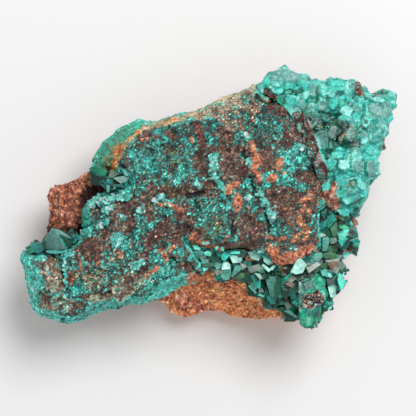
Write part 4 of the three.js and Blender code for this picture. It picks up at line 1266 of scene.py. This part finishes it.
CORNER_FACETS = [
    ("grey_teal", 0.5, 0.5, 215, (44.4, 240.6), (51, 230), (53, 228.6), (58.2, 234.8), (65, 248.4),
     (56, 250), (46, 249)),
    ("bottle", 0.1, 0.7, 330, (59.4, 234.6), (64, 236.4), (71.4, 240), (70.4, 245), (66.4, 248.4)),
    ("turquoise", 0.55, 0.4, 300, (58.2, 234.2), (59.6, 234.2), (66.6, 247.4), (65.2, 248.8)),
    ("grey_teal", 0.2, 0.5, 60, (53.6, 228.6), (60, 230.6), (66, 234), (71.8, 239), (64, 236), (59, 234)),
    ("bottle", 0.0, 0.6, 180, (41, 243.4), (43.8, 241), (45.4, 248.4), (43, 250)),
    ("teal", -0.3, 0.3, 150, (31, 246), (36, 243.4), (41, 244), (43, 250), (38, 253), (32, 251)),
    ("emerald", -0.4, 0.3, 200, (27, 250), (31.6, 247.6), (33, 252), (29, 254)),
    ("turquoise", 0.0, 0.3, 90, (46, 250.6), (56, 250.4), (66, 249.4), (67, 252), (56, 253.4), (48, 253)),
]
NOTCH_FACETS = [
    # The deep green faces are partly the crystals' own green and partly painted shade under the bank.
    ("deep_green", -1.0, 0.5, 240, (90.5, 172.5), (94, 174), (98, 176), (105, 177.5), (105, 184),
     (97, 184.5), (91, 183.5)),
    ("emerald", -0.5, 0.8, 230, (89.5, 168.5), (94, 166.5), (100, 168), (105, 170), (107, 172),
     (104.5, 176.5), (97, 175), (91, 171.5)),
    ("grey_teal", 0.0, 0.4, 60, (113, 178), (118, 177), (124, 176), (129.5, 174), (129, 177), (126, 181.5),
     (121, 183.3), (117, 180.5)),
    ("deep_green", -0.6, 0.9, 250, (111.5, 183.5), (116, 180.8), (118.5, 182.5), (114.5, 185)),
    ("teal", -0.5, 0.5, 220, (109, 186), (112, 185), (117, 184.5), (121, 184), (124.5, 188), (120, 187),
     (115, 187), (112, 189)),
    ("deep_green", -1.1, 0.6, 250, (109.5, 187), (112, 189.5), (115, 187.5), (120, 187.5), (124, 190),
     (125, 194), (118, 196), (111, 193.5)),
    ("mint", -0.6, 0.8, 190, (106, 180), (108.3, 180), (109.3, 186), (108.8, 192), (106.6, 191)),
    ("teal", -0.5, 0.8, 340, (124, 182.5), (127, 181), (128, 186), (128, 190.5), (125.5, 189)),
    ("ice", -0.8, 0.5, 230, (111, 194), (113, 193.5), (117, 197), (115, 198.5), (112, 196.5)),
    ("moss", -0.2, 0.3, 90, (108, 178), (110.5, 170.5), (116, 170), (119, 174), (113, 177.2)),
]
# Rings of a crystal from the middle of its top face outwards: the share of the way to the outline, how far
# beyond that in pixels, how far down in mm, how much it takes of the pale edge's colour, which is a painted
# highlight, and of the side's.
FACET_RINGS = [
    (0.02, 0, 0, 0, 0), (0.55, 0, 0, 0, 0), (1, -0.35, 0, 0, 0), (1, 0.1, 0.06, 0.5, 0.0),
    (1, 0.4, 0.5, 0, 0.85), (1, 1.0, 2.6, 0, 1),
]
SPREAD = 0.45  # how far in pixels an outline read from the picture is spread to meet its neighbours


def facet_height(tree, outline):
    """The greatest height of a surface under the middle of an outline and its corners, or None."""
    outline = np.array(outline, float)
    middle = outline.mean(axis=0)
    hits = [first_hit(tree, spot) for spot in (middle, *(middle + 0.6 * (outline - middle)))]
    return None if hits[0] is None else max(hit.z for hit in hits if hit is not None)


def facet_crystal(outline, height, fall, toward):
    """One crystal under a sloping top face, as rings of points, and its faces."""
    outline = np.array(outline, float)
    middle = outline.mean(axis=0)
    centre = place_at(*middle, height)
    turn = math.radians(toward)
    downhill = np.array([math.cos(turn), math.sin(turn)])
    away = outline - middle
    reach = np.linalg.norm(away, axis=1, keepdims=True)
    rings = []
    for share, out, down, *_ in FACET_RINGS:
        spots = middle + away * share * (1 + (out + SPREAD) / reach)
        ring = np.array([place_at(u, v, height) for u, v in spots])
        ring[:, 2] -= fall * ((ring[:, :2] - centre[:2]) @ downhill) + down
        rings.append(ring)
    count = len(outline)
    around = np.arange(count)
    after = (around + 1) % count
    starts = count * np.arange(len(rings) - 1)[:, None]
    quads = np.stack([around + starts, after + starts, after + starts + count, around + starts + count], 2)
    quads = quads.reshape(-1, 4)
    caps = np.array([around[::-1], around + (len(rings) - 1) * count])
    clockwise = np.sum(np.cross(away, np.roll(away, -1, axis=0))) > 0  # v runs down the picture
    if not clockwise:
        caps, quads = caps[:, ::-1], quads[:, ::-1]
    return np.concatenate(rings), quads, caps


def facet_tint(colour, outline, draw):
    """The colours of one crystal's rings: a painted shading runs across its face, its edge takes a painted
    highlight, and its sides are dark.
    """
    outline = np.array(outline, float)
    away = outline - outline.mean(axis=0)
    away /= np.linalg.norm(away, axis=1, keepdims=True)
    turn = draw.uniform(0, 2 * math.pi)
    # Painted shading across the face, towards a side chosen at random.
    shade = away @ np.array([math.cos(turn), math.sin(turn)])
    top = COLOURS[colour] * draw.uniform(0.92, 1.1)
    side = COLOURS[SIDE_COLOURS.get(colour, "deep_green")] * draw.uniform(0.6, 1.0)
    side = 0.75 * side + 0.25 * top
    # Painted highlight: the edge is paler.
    edge = 0.6 * top + 0.4 * COLOURS["ice"]
    rows = []
    for share, _, _, pale, dark in FACET_RINGS:
        ring = top * (1 + 0.26 * share * shade)[:, None]
        rows.append(ring + pale * (edge - ring) + dark * (side - ring))
    return np.concatenate(rows)


def facet_crystals(rows, tree, draw, base=None):
    """A table's crystals as points, lists of faces and colours, without those that have no surface below."""
    parts, tints = [], []
    for colour, rise, fall, toward, *outline in rows:
        height = facet_height(tree, outline) if base is None else base
        if height is None:
            continue
        parts.append(facet_crystal(outline, height + rise, fall, toward))
        tints.append(facet_tint(colour, outline, draw))
    return *joined(*parts), np.concatenate(tints)


def chance_outline(spot, wide, long, draw):
    """A crystal's outline with five to seven corners about a spot."""
    count = draw.integers(5, 8)
    angles = (np.arange(count) + draw.uniform(-0.3, 0.3, count)) * 2 * math.pi / count
    turn = draw.uniform(0, math.pi)
    corners = np.stack([long * np.cos(angles), wide * np.sin(angles)], 1)
    return spot + corners @ np.array([[math.cos(turn), math.sin(turn)], [-math.sin(turn), math.cos(turn)]])


def inside_outline(outline, spots):
    """How many pixels each spot lies inside a convex outline's edge, negative outside."""
    outline = np.array(outline, float)
    middle = outline.mean(axis=0)
    deep = np.full(len(spots), 99.0)
    for start, end in zip(outline, np.roll(outline, -1, axis=0)):
        along = (end - start) / max(np.linalg.norm(end - start), 1e-9)
        across = np.array([-along[1], along[0]])
        inward = across if (middle - start) @ across > 0 else -across
        deep = np.minimum(deep, (spots - start) @ inward)
    return deep


def seen_on(node, spot):
    """True where the line of sight through a pixel meets a CAD node before the others."""
    hits = {other: first_hit(tree, spot) for other, tree in TREES.items()}
    heights = {other: -1 if hit is None else hit.z for other, hit in hits.items()}
    return heights[node] > 0 and heights[node] >= max(heights.values())


GROUND_TRIES = 9000


def ground_rows(node, box, gap, sizes, rises, falls, names, left_out, drawn, draw):
    """Rows of crystals with chance outlines, close together over the seen side of a CAD node."""
    spots = []
    for spot in draw.uniform(box[:2], box[2:], (GROUND_TRIES, 2)):
        if len(spots) and np.min(np.sum((np.array(spots) - spot) ** 2, 1)) < gap**2:
            continue
        if seen_on(node, spot):
            spots.append(spot)
    spots = np.array(spots)
    spots = spots[inside_strokes(left_out, spots) < 0]
    for row in drawn:
        spots = spots[inside_outline(row[4:], spots) < 0.5]
    rows = []
    for spot in spots:
        outline = chance_outline(spot, draw.uniform(*sizes), draw.uniform(*sizes) * 1.2, draw)
        look = draw.choice(names), draw.uniform(*rises), draw.uniform(*falls), draw.uniform(0, 360)
        rows.append((*look, *outline))
    return rows


# Strokes along the crust's edge on the pocket.
CONTACT = [
    (2, (203, 242), (214, 249), (226, 251)), (2, (236, 251), (246, 250)), (2, (258, 251), (263, 251)),
    (2, (272, 262), (278, 267)),
]
BLOCK_GAP = 2.7  # pixels


def block_rows(strokes, draw):
    """Rows of small pale crystals with chance outlines along strokes."""
    spots = []
    for radius, *line in strokes:
        for start, end in zip(line, line[1:]):
            start, along = np.array(start, float), np.subtract(end, start).astype(float)
            across = np.array([-along[1], along[0]]) / max(np.linalg.norm(along), 1e-9)
            for _ in range(int(6 + 3 * np.linalg.norm(along))):
                spot = start + draw.random() * along + draw.uniform(-0.8, 0.8) * radius * across
                if all(np.linalg.norm(spot - other) > BLOCK_GAP for other in spots):
                    spots.append(spot)
    rows = []
    for spot in spots:
        outline = chance_outline(spot, draw.uniform(1.0, 1.7), draw.uniform(1.5, 2.7), draw)
        colour = draw.choice(["ice", "mint", "mint", "turquoise", "grey_teal"])
        rows.append((colour, draw.uniform(0.5, 0.8), draw.uniform(0, 0.3), draw.uniform(0, 360), *outline))
    return rows


def make_crust_blocks():
    """Blocks of pale crystal on the crust, along its pale strokes and its contact with the pocket."""
    draw = np.random.default_rng(41)
    shape, faces, tint = facet_crystals(block_rows(PALE + CONTACT, draw), TREES["mineral_crust"], draw)
    new_piece("crust_blocks", shape, faces, tint, pale_dioptase, flat=True)


# ---- The two druses ------------------------------------------------------------------------------------

SIDE_CRYSTALS = 3.0  # to a square mm, before those too close together are left out
POCKET_BRIGHTNESS = 1.12
# The smooth lumps of the front druse: the middle in pixels, half the width and half the height in mm.
KNOB_BALLS = [
    ((313.5, 297.5), 2.75, 1.7), ((307, 318), 1.75, 1.5), ((319, 281), 1.35, 1.2), ((329, 291), 1.3, 1.3),
    ((355, 236), 1.2, 1.2), ((349, 256), 1.0, 1.0), ((194, 285), 1.1, 1.0), ((340, 281), 1.0, 1.0),
    ((321, 314), 1.1, 1.1),
]
# Strokes over the lumps, which stay free of crystals, and over the speckled face of the largest.
KNOBS = [
    (14, (313.5, 297.5)), (9, (307, 318)), (6, (320, 281)), (6, (329, 292)), (4, (321, 314)),
    (4, (354, 228), (356, 242)), (4, (349, 256)), (5, (188, 286), (200, 286)),
]
KNOB_FACE = [(6.5, (309, 301), (317, 298))]


def knob_balls(tree):
    """The smooth lumps as points and faces, each with its top a little above a CAD node's surface."""
    template = bmesh.new()
    bmesh.ops.create_icosphere(template, subdivisions=3, radius=1.0)
    points = np.array([vertex.co for vertex in template.verts])
    faces = np.array([[vertex.index for vertex in face.verts] for face in template.faces])
    template.free()
    balls = []
    for spot, half_width, half_height in KNOB_BALLS:
        hit = first_hit(tree, spot)
        if hit is not None:
            middle = np.array([hit.x, hit.y, hit.z + 0.25 - half_height])
            balls.append((middle + points * (half_width, half_width, half_height), faces))
    return balls


def apart(places, spacing):
    """The numbers of those places that keep their spacing in mm from the ones kept before."""
    kept, held = [], []
    for number, place in enumerate(places):
        if held and np.min(np.sum((np.array(held) - place) ** 2, 1)) < spacing[number] ** 2:
            continue
        kept.append(number)
        held.append(place)
    return kept


def nearest_of(points, centres):
    """The number of the centre nearest to each point."""
    nearest = np.empty(len(points), int)
    for start in range(0, len(points), 4000):
        part = slice(start, start + 4000)
        nearest[part] = np.linalg.norm(points[part, None] - centres[None], axis=2).argmin(axis=1)
    return nearest


def side_crystals(points, quads, sizes, draw):
    """Low crystals close together on a druse's steep sides, as prisms, and their places."""
    places, outward = scattered(points, quads, normals_of(points, quads), SIDE_CRYSTALS, draw)
    keep = (places[:, 2] > 13.0) & (outward[:, 2] > -0.5) & (outward[:, 2] < 0.6)
    keep &= inside_strokes(KNOBS, pixels(places)) < 2
    places, outward = places[keep], outward[keep]
    wide = draw.uniform(*sizes, len(places))
    kept = apart(places, wide * 0.6)
    places, outward, wide = places[kept], outward[kept], wide[kept]
    axes = leaning(outward, 0.2, draw)
    axes /= np.linalg.norm(axes, axis=1, keepdims=True)
    lengths = np.full(len(wide), 0.04) + SUNK
    return prisms(places - axes * SUNK, axes, wide, lengths, draw), places


def druse_base(node, sink):
    """A CAD node's mass, let down by `sink` mm where it faces up and away from its neighbours."""
    points, quads = remeshed(node_mesh(node), voxel=0.25, passes=2)
    normals = normals_of(points, quads)
    others = [TREES[other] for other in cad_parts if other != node]
    gaps = np.array([min(tree.find_nearest(p)[3] for tree in others) for p in points.tolist()])
    open_share = smooth(gaps, 0.4, 2.0)
    up = smooth(normals[:, 2], 0.2, 0.7)
    drop = sink * open_share * up - 0.1 * open_share * (1 - up) - 0.25 * (1 - open_share)
    lift = 0.2 * up * relief_noise(points, 2.6) + 0.12 * relief_noise(points + 4, 1.6) - drop
    return points + normals * lift[:, None], quads


def trimmed(points, node, limit):
    """The points, with those that would widen a CAD node's outline brought back to `limit` mm off it."""
    tree = TREES[node]
    moved = points.copy()
    spots = pixels(points)
    for number, point in enumerate(points.tolist()):
        near, _, _, away = tree.find_nearest(point)
        if away > limit and first_hit(tree, spots[number]) is None:
            near = np.array(near)
            moved[number] = near + (points[number] - near) * limit / away
    return moved


def grown_together(node, rows, lumps, sides, sink, voxel, passes, draw):
    """A druse as one welded mass: its points and faces, each point's nearest crystal, and their number."""
    points, quads = druse_base(node, sink)
    mass, places = side_crystals(points, quads, sides, draw)
    parts = [(points, quads), mass, *lumps]
    if rows:
        seen, seen_faces, _ = facet_crystals(rows, TREES[node], draw)
        parts.append((seen, *seen_faces))
    welded, faces = remeshed(plain_mesh(*joined(*parts)), step_size(full=voxel), passes)
    welded = trimmed(welded, node, limit=0.08)
    edge = steepness(normals_of(welded, faces), 0.3, 0.8)
    rounded = spread(welded, faces, len(welded), times=22)
    welded = shifted(laid_over(welded, rounded, 0.9 * edge[:, None]), OUTLINE_SHIFTS)
    middles = [place_at(*np.mean(row[4:], axis=0), facet_height(TREES[node], row[4:]) or 0) for row in rows]
    centres = np.array([*places, *middles])
    return welded, faces, nearest_of(welded, centres), len(centres)


def make_crumbs(name, surface, density, mix_name, sizes, draw, left_out=(), only=()):
    """Tiny grains scattered over a druse, outside some strokes, or only inside others."""
    places, axes = scattered(*surface, density, draw)
    keep = (places[:, 2] > 14.0) & (axes[:, 2] > -0.4)
    if left_out:
        keep &= inside_strokes(left_out, pixels(places)) < 0
    if only:
        keep &= (inside_strokes(only, pixels(places)) > 0) & (axes[:, 2] > 0.2)
    places, axes = places[keep], axes[keep]
    tint = coloured(MIXES[mix_name], draw.random(len(places)))
    small, small_faces = grains(places, axes, draw.uniform(*sizes, len(places)), draw)
    tint = repeated_tint(tint, 0.8, 1.2, len(CUBE), draw)
    new_piece(name, small, small_faces, tint, crust_grain, flat=True)


PINK_CLUSTER = [(7, (328, 196), (334, 203)), (3, (334, 184), (333, 192)), (3.4, (357, 86), (360, 93))]
# Strokes over the part of the band painted dark green and grey as painted shade.
BAND_SHADE_STROKES = [
    (12, (322, 124), (336, 130), (346, 134)), (6, (308, 112), (314, 124)), (6, (352, 138), (356, 146)),
    (5, (328, 140), (330, 148)),
]
# Patches of a mix over the band, in this order.
BAND_PATCHES = [
    ("flesh", PINK_CLUSTER),
    ("gem", [
        (3, (286, 91.5), (296, 92)), (2.2, (375, 91.5), (387, 91)), (1.4, (327, 83), (328, 91)),
        (1.4, (326, 97), (328, 101)), (1.2, (305, 102.5), (309, 100.5), (316, 101)),
        (1.8, (303, 112), (308, 113)), (1.2, (316, 97.5), (320, 100)), (1.2, (346, 98), (345, 102)),
        (1.4, (362, 117), (366, 122)), (1.2, (331, 145), (330, 150)), (1.4, (350, 158), (351, 166)),
        (2, (341, 188), (344, 192)), (1.2, (284, 97), (285, 103)), (1.5, (361, 127), (367, 131)),
        (1.2, (322, 150), (326, 156)),
    ]),
    ("brown", [
        (4, (357, 85), (359, 92)), (1.5, (373, 97), (376, 95)), (1.6, (384, 140), (384, 153), (381, 159)),
    ]),
    ("mottled", [
        (7, (297, 118), (302, 128), (307, 141), (312, 154), (316, 166), (322, 178)),
        (4, (266, 92), (274, 98)),
    ]),
    ("maroon", [
        (1.2, (385, 143), (384, 154)), (2.6, (302, 116), (308, 129), (314, 143), (319, 157), (326, 172)),
    ]),
    # Painted shade in small dark gaps between the band's crystals.
    ("hole_shade", [
        (2.5, (342, 123), (341, 126)), (2, (347, 122), (347, 126)), (1.6, (310, 118), (313, 124)),
        (2.4, (315, 128), (316, 130)), (2.6, (319, 121), (325, 123)), (2, (336, 140), (339, 136)),
        (1.4, (338, 131), (341, 133), (344, 131)), (1.6, (327, 157), (327, 159)),
    ]),
]


def band_colours(points, spots, own):
    """The band's two colours at each point: its crystals, a painted shade over one dark part, its outlines
    and its patches.
    """
    tint = coloured(MIXES["band"], own)
    fine = wander(points, 500)
    fleck = 0.35 * tint + 0.65 * coloured(MIXES["band"], fine)
    spots = spots + 0.5 * np.stack([patch_noise(points, 0.8), patch_noise(points + 9, 0.8)], 1)
    high = points[:, 2] > 15
    # Painted shade over the band's dark part.
    vug = (0.85 * stroke_share(BAND_SHADE_STROKES, spots, 2, 2 * patch_noise(points, 1.2)) * high)[:, None]
    shade = coloured(MIXES["vug"], fine)
    tint, fleck = laid_over(tint, shade, vug), laid_over(fleck, shade, vug)
    for colour, _, _, _, *outline in BAND_FACETS:
        share = (smooth(inside_outline(outline, spots), -0.5, 0.5) * high)[:, None] * (1 - 0.6 * vug)
        tint = laid_over(tint, COLOURS[colour], share)
        fleck = laid_over(fleck, 0.85 * COLOURS[colour], 0.8 * share)
    for mix_name, strokes in BAND_PATCHES:
        share = stroke_share(strokes, spots, 0.5, 1.2 * patch_noise(points, 0.7))[:, None]
        patch = coloured(MIXES[mix_name], fine)
        tint, fleck = laid_over(tint, patch, share), laid_over(fleck, patch, share)
    return tint, fleck


def make_band():
    """The turquoise band: crystals grown together into one bright mass."""
    draw = np.random.default_rng(7)
    ground = ground_rows(
        "right_druse", box=(262, 60, 402, 225), gap=6.5, sizes=(3.5, 6.0), rises=(-0.1, 0.3),
        falls=(0.05, 0.4), names=["teal", "grey_teal", "turquoise", "turquoise", "mint"],
        left_out=PINK_CLUSTER, drawn=[], draw=draw
    )
    welded, faces, nearest, count = grown_together(
        "right_druse", ground + BAND_FACETS, lumps=[], sides=(1.8, 3.2), sink=0.3, voxel=0.173, passes=5,
        draw=draw
    )
    outward = normals_of(welded, faces)
    spots = pixels(welded)
    lift = relief(welded, (0.05, 0.8, 0), (0.04, 0.4, 3))
    knobs, _ = cells(welded, size=0.8, seed=5)
    lift += stroke_share(PINK_CLUSTER, spots, 1) * (0.5 * (0.6 - knobs) + 0.25)
    welded = welded + outward * lift[:, None]
    tint, fleck = band_colours(welded, spots, draw.random(count)[nearest])
    # Painted shade in the band's creases and a painted highlight on its edges.
    dark = crease_shade(welded, faces, outward, times=5, crease=(0.45, 0.015, 0.12), edge=(0.1, 0.02, 0.1))
    dark *= np.exp(0.16 * np.random.default_rng(20).normal(size=(len(welded), 1)))
    tint, fleck = tint * dark, fleck * dark
    new_piece("band", welded, faces, tint, band_stone, ["right_druse"], fleck=fleck)
    surface = welded, faces, outward
    make_crumbs(
        "band_crumbs", surface, density=0.4, mix_name="frost", sizes=(0.14, 0.3), draw=draw
    )


# Patches of a mix over the pocket, in this order.
POCKET_PATCHES = [
    ("knob", [
        (14.5, (313.5, 297.5)), (10, (307, 318)), (6, (330, 290)), (6, (354, 228), (356, 242)),
        (6, (196, 286)),
    ]),
    ("ring", [(3, (299, 302), (299, 294), (303, 287), (311, 285)), (2, (322, 292), (325, 300))]),
    ("rim", [
        (4, (340, 272), (343, 284)), (3, (336, 296), (329, 307)), (3, (348, 256), (350, 252)),
        (1.6, (356, 212), (352, 224), (346, 240)), (1.6, (345, 244), (342, 256), (340, 266)),
        (3, (200, 286), (188, 288)), (3, (222, 256), (228, 257)),
    ]),
    ("ball", [(8, (306, 318)), (5, (356, 236))]),
    ("band", [
        (5, (340, 230), (344, 220), (352, 212)), (4, (344, 236), (340, 262)), (4, (186, 244), (184, 256)),
        (4, (324, 312), (322, 318)), (5, (312, 256), (318, 254)),
    ]),
    ("bank", [(6, (318, 281), (322, 279)), (4, (332, 226), (330, 234)), (4, (340, 246), (340, 252))]),
    ("speckle", [(7.5, (309, 301), (317, 298)), (3, (297, 306), (298, 309)), (4, (284, 271), (287, 274))]),
    ("maroon", [
        (3.5, (355, 216), (356, 226)), (2, (352, 232), (349, 240)), (2.6, (348, 246), (350, 248)),
        (1.6, (341, 260), (343, 266)), (1.2, (337, 278), (340, 273)),
    ]),
    ("orange", [
        (2.2, (282, 270), (287, 270)), (1.6, (284, 275), (287, 276)),
        (1.4, (346, 251), (351, 250), (352, 245)), (1.6, (318, 252), (322, 251)),
    ]),
    ("gold", [(2, (338, 218), (338, 222)), (2, (343, 218), (344, 223)), (1.4, (337, 248), (338, 251))]),
    ("beige", [(3, (310, 265), (310, 273)), (4, (322, 264), (334, 267)), (3, (292, 286), (293, 292))]),
    # Painted shade in gaps between the pocket's crystals and under the crust's edge.
    ("hole_shade", [
        (4, (322, 206), (326, 214), (318, 220)), (3, (243, 271), (247, 278)), (3, (295, 275), (304, 277)),
        (2.5, (262, 258), (262, 264)), (2.5, (300, 280), (306, 274)), (3, (208, 258), (220, 260)),
    ]),
]


def pocket_colours(points, spots, own):
    """The pocket's two colours at each point: its crystals, with patches over them."""
    ragged = 1.5 * patch_noise(points, 0.9)
    coats = [("pocket", np.ones(len(points)))]
    coats += [(name, stroke_share(strokes, spots, 1, ragged)) for name, strokes in POCKET_PATCHES]
    weights = blend_of(coats, len(points))
    tint = coloured(weights, own)
    return tint, 0.4 * tint + 0.6 * coloured(weights, wander(points, 700))


def make_pocket_crystals(name, rows, outline_limit, brightness, contrast, draw):
    """The pocket's clear crystals from a table, kept to within `outline_limit` mm of the node where given."""
    shape, facets, shades = facet_crystals(rows, TREES["front_druse"], draw)
    if outline_limit:
        shape = shifted(trimmed(shape, "front_druse", outline_limit), OUTLINE_SHIFTS)
    shades = shades**contrast * brightness
    new_piece(name, shape, facets, shades, dark_dioptase, flat=True, fleck=0.8 * shades)


def make_pocket():
    """The dark pocket along the front, with its larger clear crystals."""
    draw = np.random.default_rng(9)
    ground = ground_rows(
        "front_druse", box=(172, 200, 364, 332), gap=4.2, sizes=(2.2, 4.0), rises=(-0.3, 0.05),
        falls=(0.1, 0.6),
        names=["deep_green", "deep_green", "bottle", "bottle", "bottle", "sea", "sea", "moss", "teal"],
        left_out=[(radius + 3, *line) for radius, *line in KNOBS], drawn=POCKET_FACETS, draw=draw
    )
    welded, faces, nearest, count = grown_together(
        "front_druse", rows=[], lumps=knob_balls(TREES["front_druse"]), sides=(1.4, 2.6), sink=0.35,
        voxel=0.18, passes=2, draw=draw
    )
    outward = normals_of(welded, faces)
    spots = pixels(welded)
    face = smooth(inside_strokes(KNOB_FACE, spots), -1, 1.5)
    lift = relief(welded, (0.05, 1.2, 0), (0.04, 0.5, 0))
    lift += face * (0.16 * relief_noise(welded + 2, 0.55) - 0.3)
    welded = welded + outward * (lift * smooth(outward[:, 2], -0.3, 0.3))[:, None]
    tint, fleck = pocket_colours(welded, spots, draw.random(count)[nearest])
    # Painted shade in the pocket's creases and a painted highlight on its edges.
    dark = crease_shade(welded, faces, outward, times=5, crease=(0.5, 0.0, 0.12), edge=(0.1, 0.02, 0.1))
    dark = POCKET_BRIGHTNESS * dark
    dark *= 1 - 0.1 * stroke_share(KNOBS[:2], spots, 1)[:, None]
    tint, fleck = tint * dark, fleck * dark
    new_piece("pocket", welded, faces, tint, druse_stone, ["front_druse"], fleck=fleck)
    make_pocket_crystals("pocket_ground", ground, 0.15, brightness=(0.92, 1.2, 1.1), contrast=1, draw=draw)
    make_pocket_crystals(
        "pocket_crystals", POCKET_FACETS, None, brightness=(1.68, 1.92, 1.8), contrast=1.12, draw=draw
    )
    surface = welded, faces, outward
    make_crumbs(
        "pocket_crumbs", surface, density=0.5, mix_name="pocket", sizes=(0.2, 0.5), draw=draw,
        left_out=KNOBS
    )
    make_crumbs(
        "knob_crumbs", surface, density=14, mix_name="speckle", sizes=(0.2, 0.5), draw=draw,
        only=KNOB_FACE
    )


# ---- The corner and the notch --------------------------------------------------------------------------


def make_node_crystals(node, name, rows, height, seed):
    """A CAD node's own mass, and over it its crystals, with their top faces at heights from `height`."""
    points, quads = remeshed(node_mesh(node), step_size(full=0.14), passes=1)
    normals = normals_of(points, quads)
    lift = relief(points, (0.12, 0.9, 0)) - 0.35 * smooth(normals[:, 2], 0.2, 0.7)
    points = shifted(points + normals * lift[:, None], OUTLINE_SHIFTS)
    tint, fleck = (coloured(MIXES["deep"], wander(points, shift)) for shift in (900, 950))
    new_piece(f"{name}_mass", points, quads, tint, druse_stone, [node], fleck=fleck)
    shape, faces, tint = facet_crystals(rows, None, np.random.default_rng(seed), base=height)
    new_piece(name, shape, faces, tint, dark_dioptase, flat=True)


# ---- The stage -----------------------------------------------------------------------------------------

FLOOR_HALF = 2.0
AIM = Vector((0, 0, 0.015))


def make_stage():
    """A pale floor."""
    mesh = bpy.data.meshes.new("floor")
    corners = [(x * FLOOR_HALF, y * FLOOR_HALF, 0) for x, y in ((-1, -1), (1, -1), (1, 1), (-1, 1))]
    mesh.from_pydata(corners, [], [(0, 1, 2, 3)])
    floor = bpy.data.objects.new("floor", mesh)
    scene.collection.objects.link(floor)
    material = bpy.data.materials.new("pale_floor")
    material.use_nodes = True
    shader = material.node_tree.nodes["Principled BSDF"]
    shader.inputs["Base Color"].default_value = (0.9, 0.9, 0.9, 1)
    shader.inputs["Roughness"].default_value = 0.9
    shader.inputs["Specular IOR Level"].default_value = 0.1
    mesh.materials.append(material)


def make_light(name, place, size, watts):
    """A round soft light that looks at the specimen."""
    light = bpy.data.lights.new(name, "AREA")
    light.shape = "DISK"
    light.size = size
    light.energy = watts
    lamp = bpy.data.objects.new(name, light)
    lamp.location = place
    lamp.rotation_euler = (-Vector(place) + AIM).to_track_quat("-Z", "Y").to_euler()
    scene.collection.objects.link(lamp)


def make_studio():
    """White light from all round, and one soft light from the upper right."""
    world = bpy.data.worlds.new("studio")
    world.use_nodes = True
    background = world.node_tree.nodes["Background"]
    background.inputs["Color"].default_value = (1, 1, 1, 1)
    background.inputs["Strength"].default_value = 0.5
    scene.world = world
    make_light("key", place=(0.16, 0.22, 0.5), size=0.3, watts=2.1)
    scene.view_settings.view_transform = "Standard"


def make_camera():
    """The camera straight above the specimen."""
    camera = bpy.data.cameras.new("camera")
    camera.lens = LENS
    camera.sensor_width = SENSOR
    camera.clip_start = 0.01
    camera.clip_end = 10
    eye = bpy.data.objects.new("camera", camera)
    eye.location = (CAMERA_AT[0] * MM, CAMERA_AT[1] * MM, (PLANE + CAMERA_RISE) * MM)
    scene.collection.objects.link(eye)
    scene.camera = eye


# ---- The specimen, the floor, the light and the camera -------------------------------------------------

crust_surface = make_crust()
make_crust_grains(*crust_surface)
make_crust_crystals(*crust_surface)
make_rock_grains(*make_rock())
make_band()
make_pocket()
make_crust_blocks()
make_node_crystals("corner_crystals", "corner_prisms", CORNER_FACETS, height=20.6, seed=14)
make_node_crystals("notch_crystals", "notch_prisms", NOTCH_FACETS, height=21.6, seed=15)
make_stage()
make_studio()
make_camera()
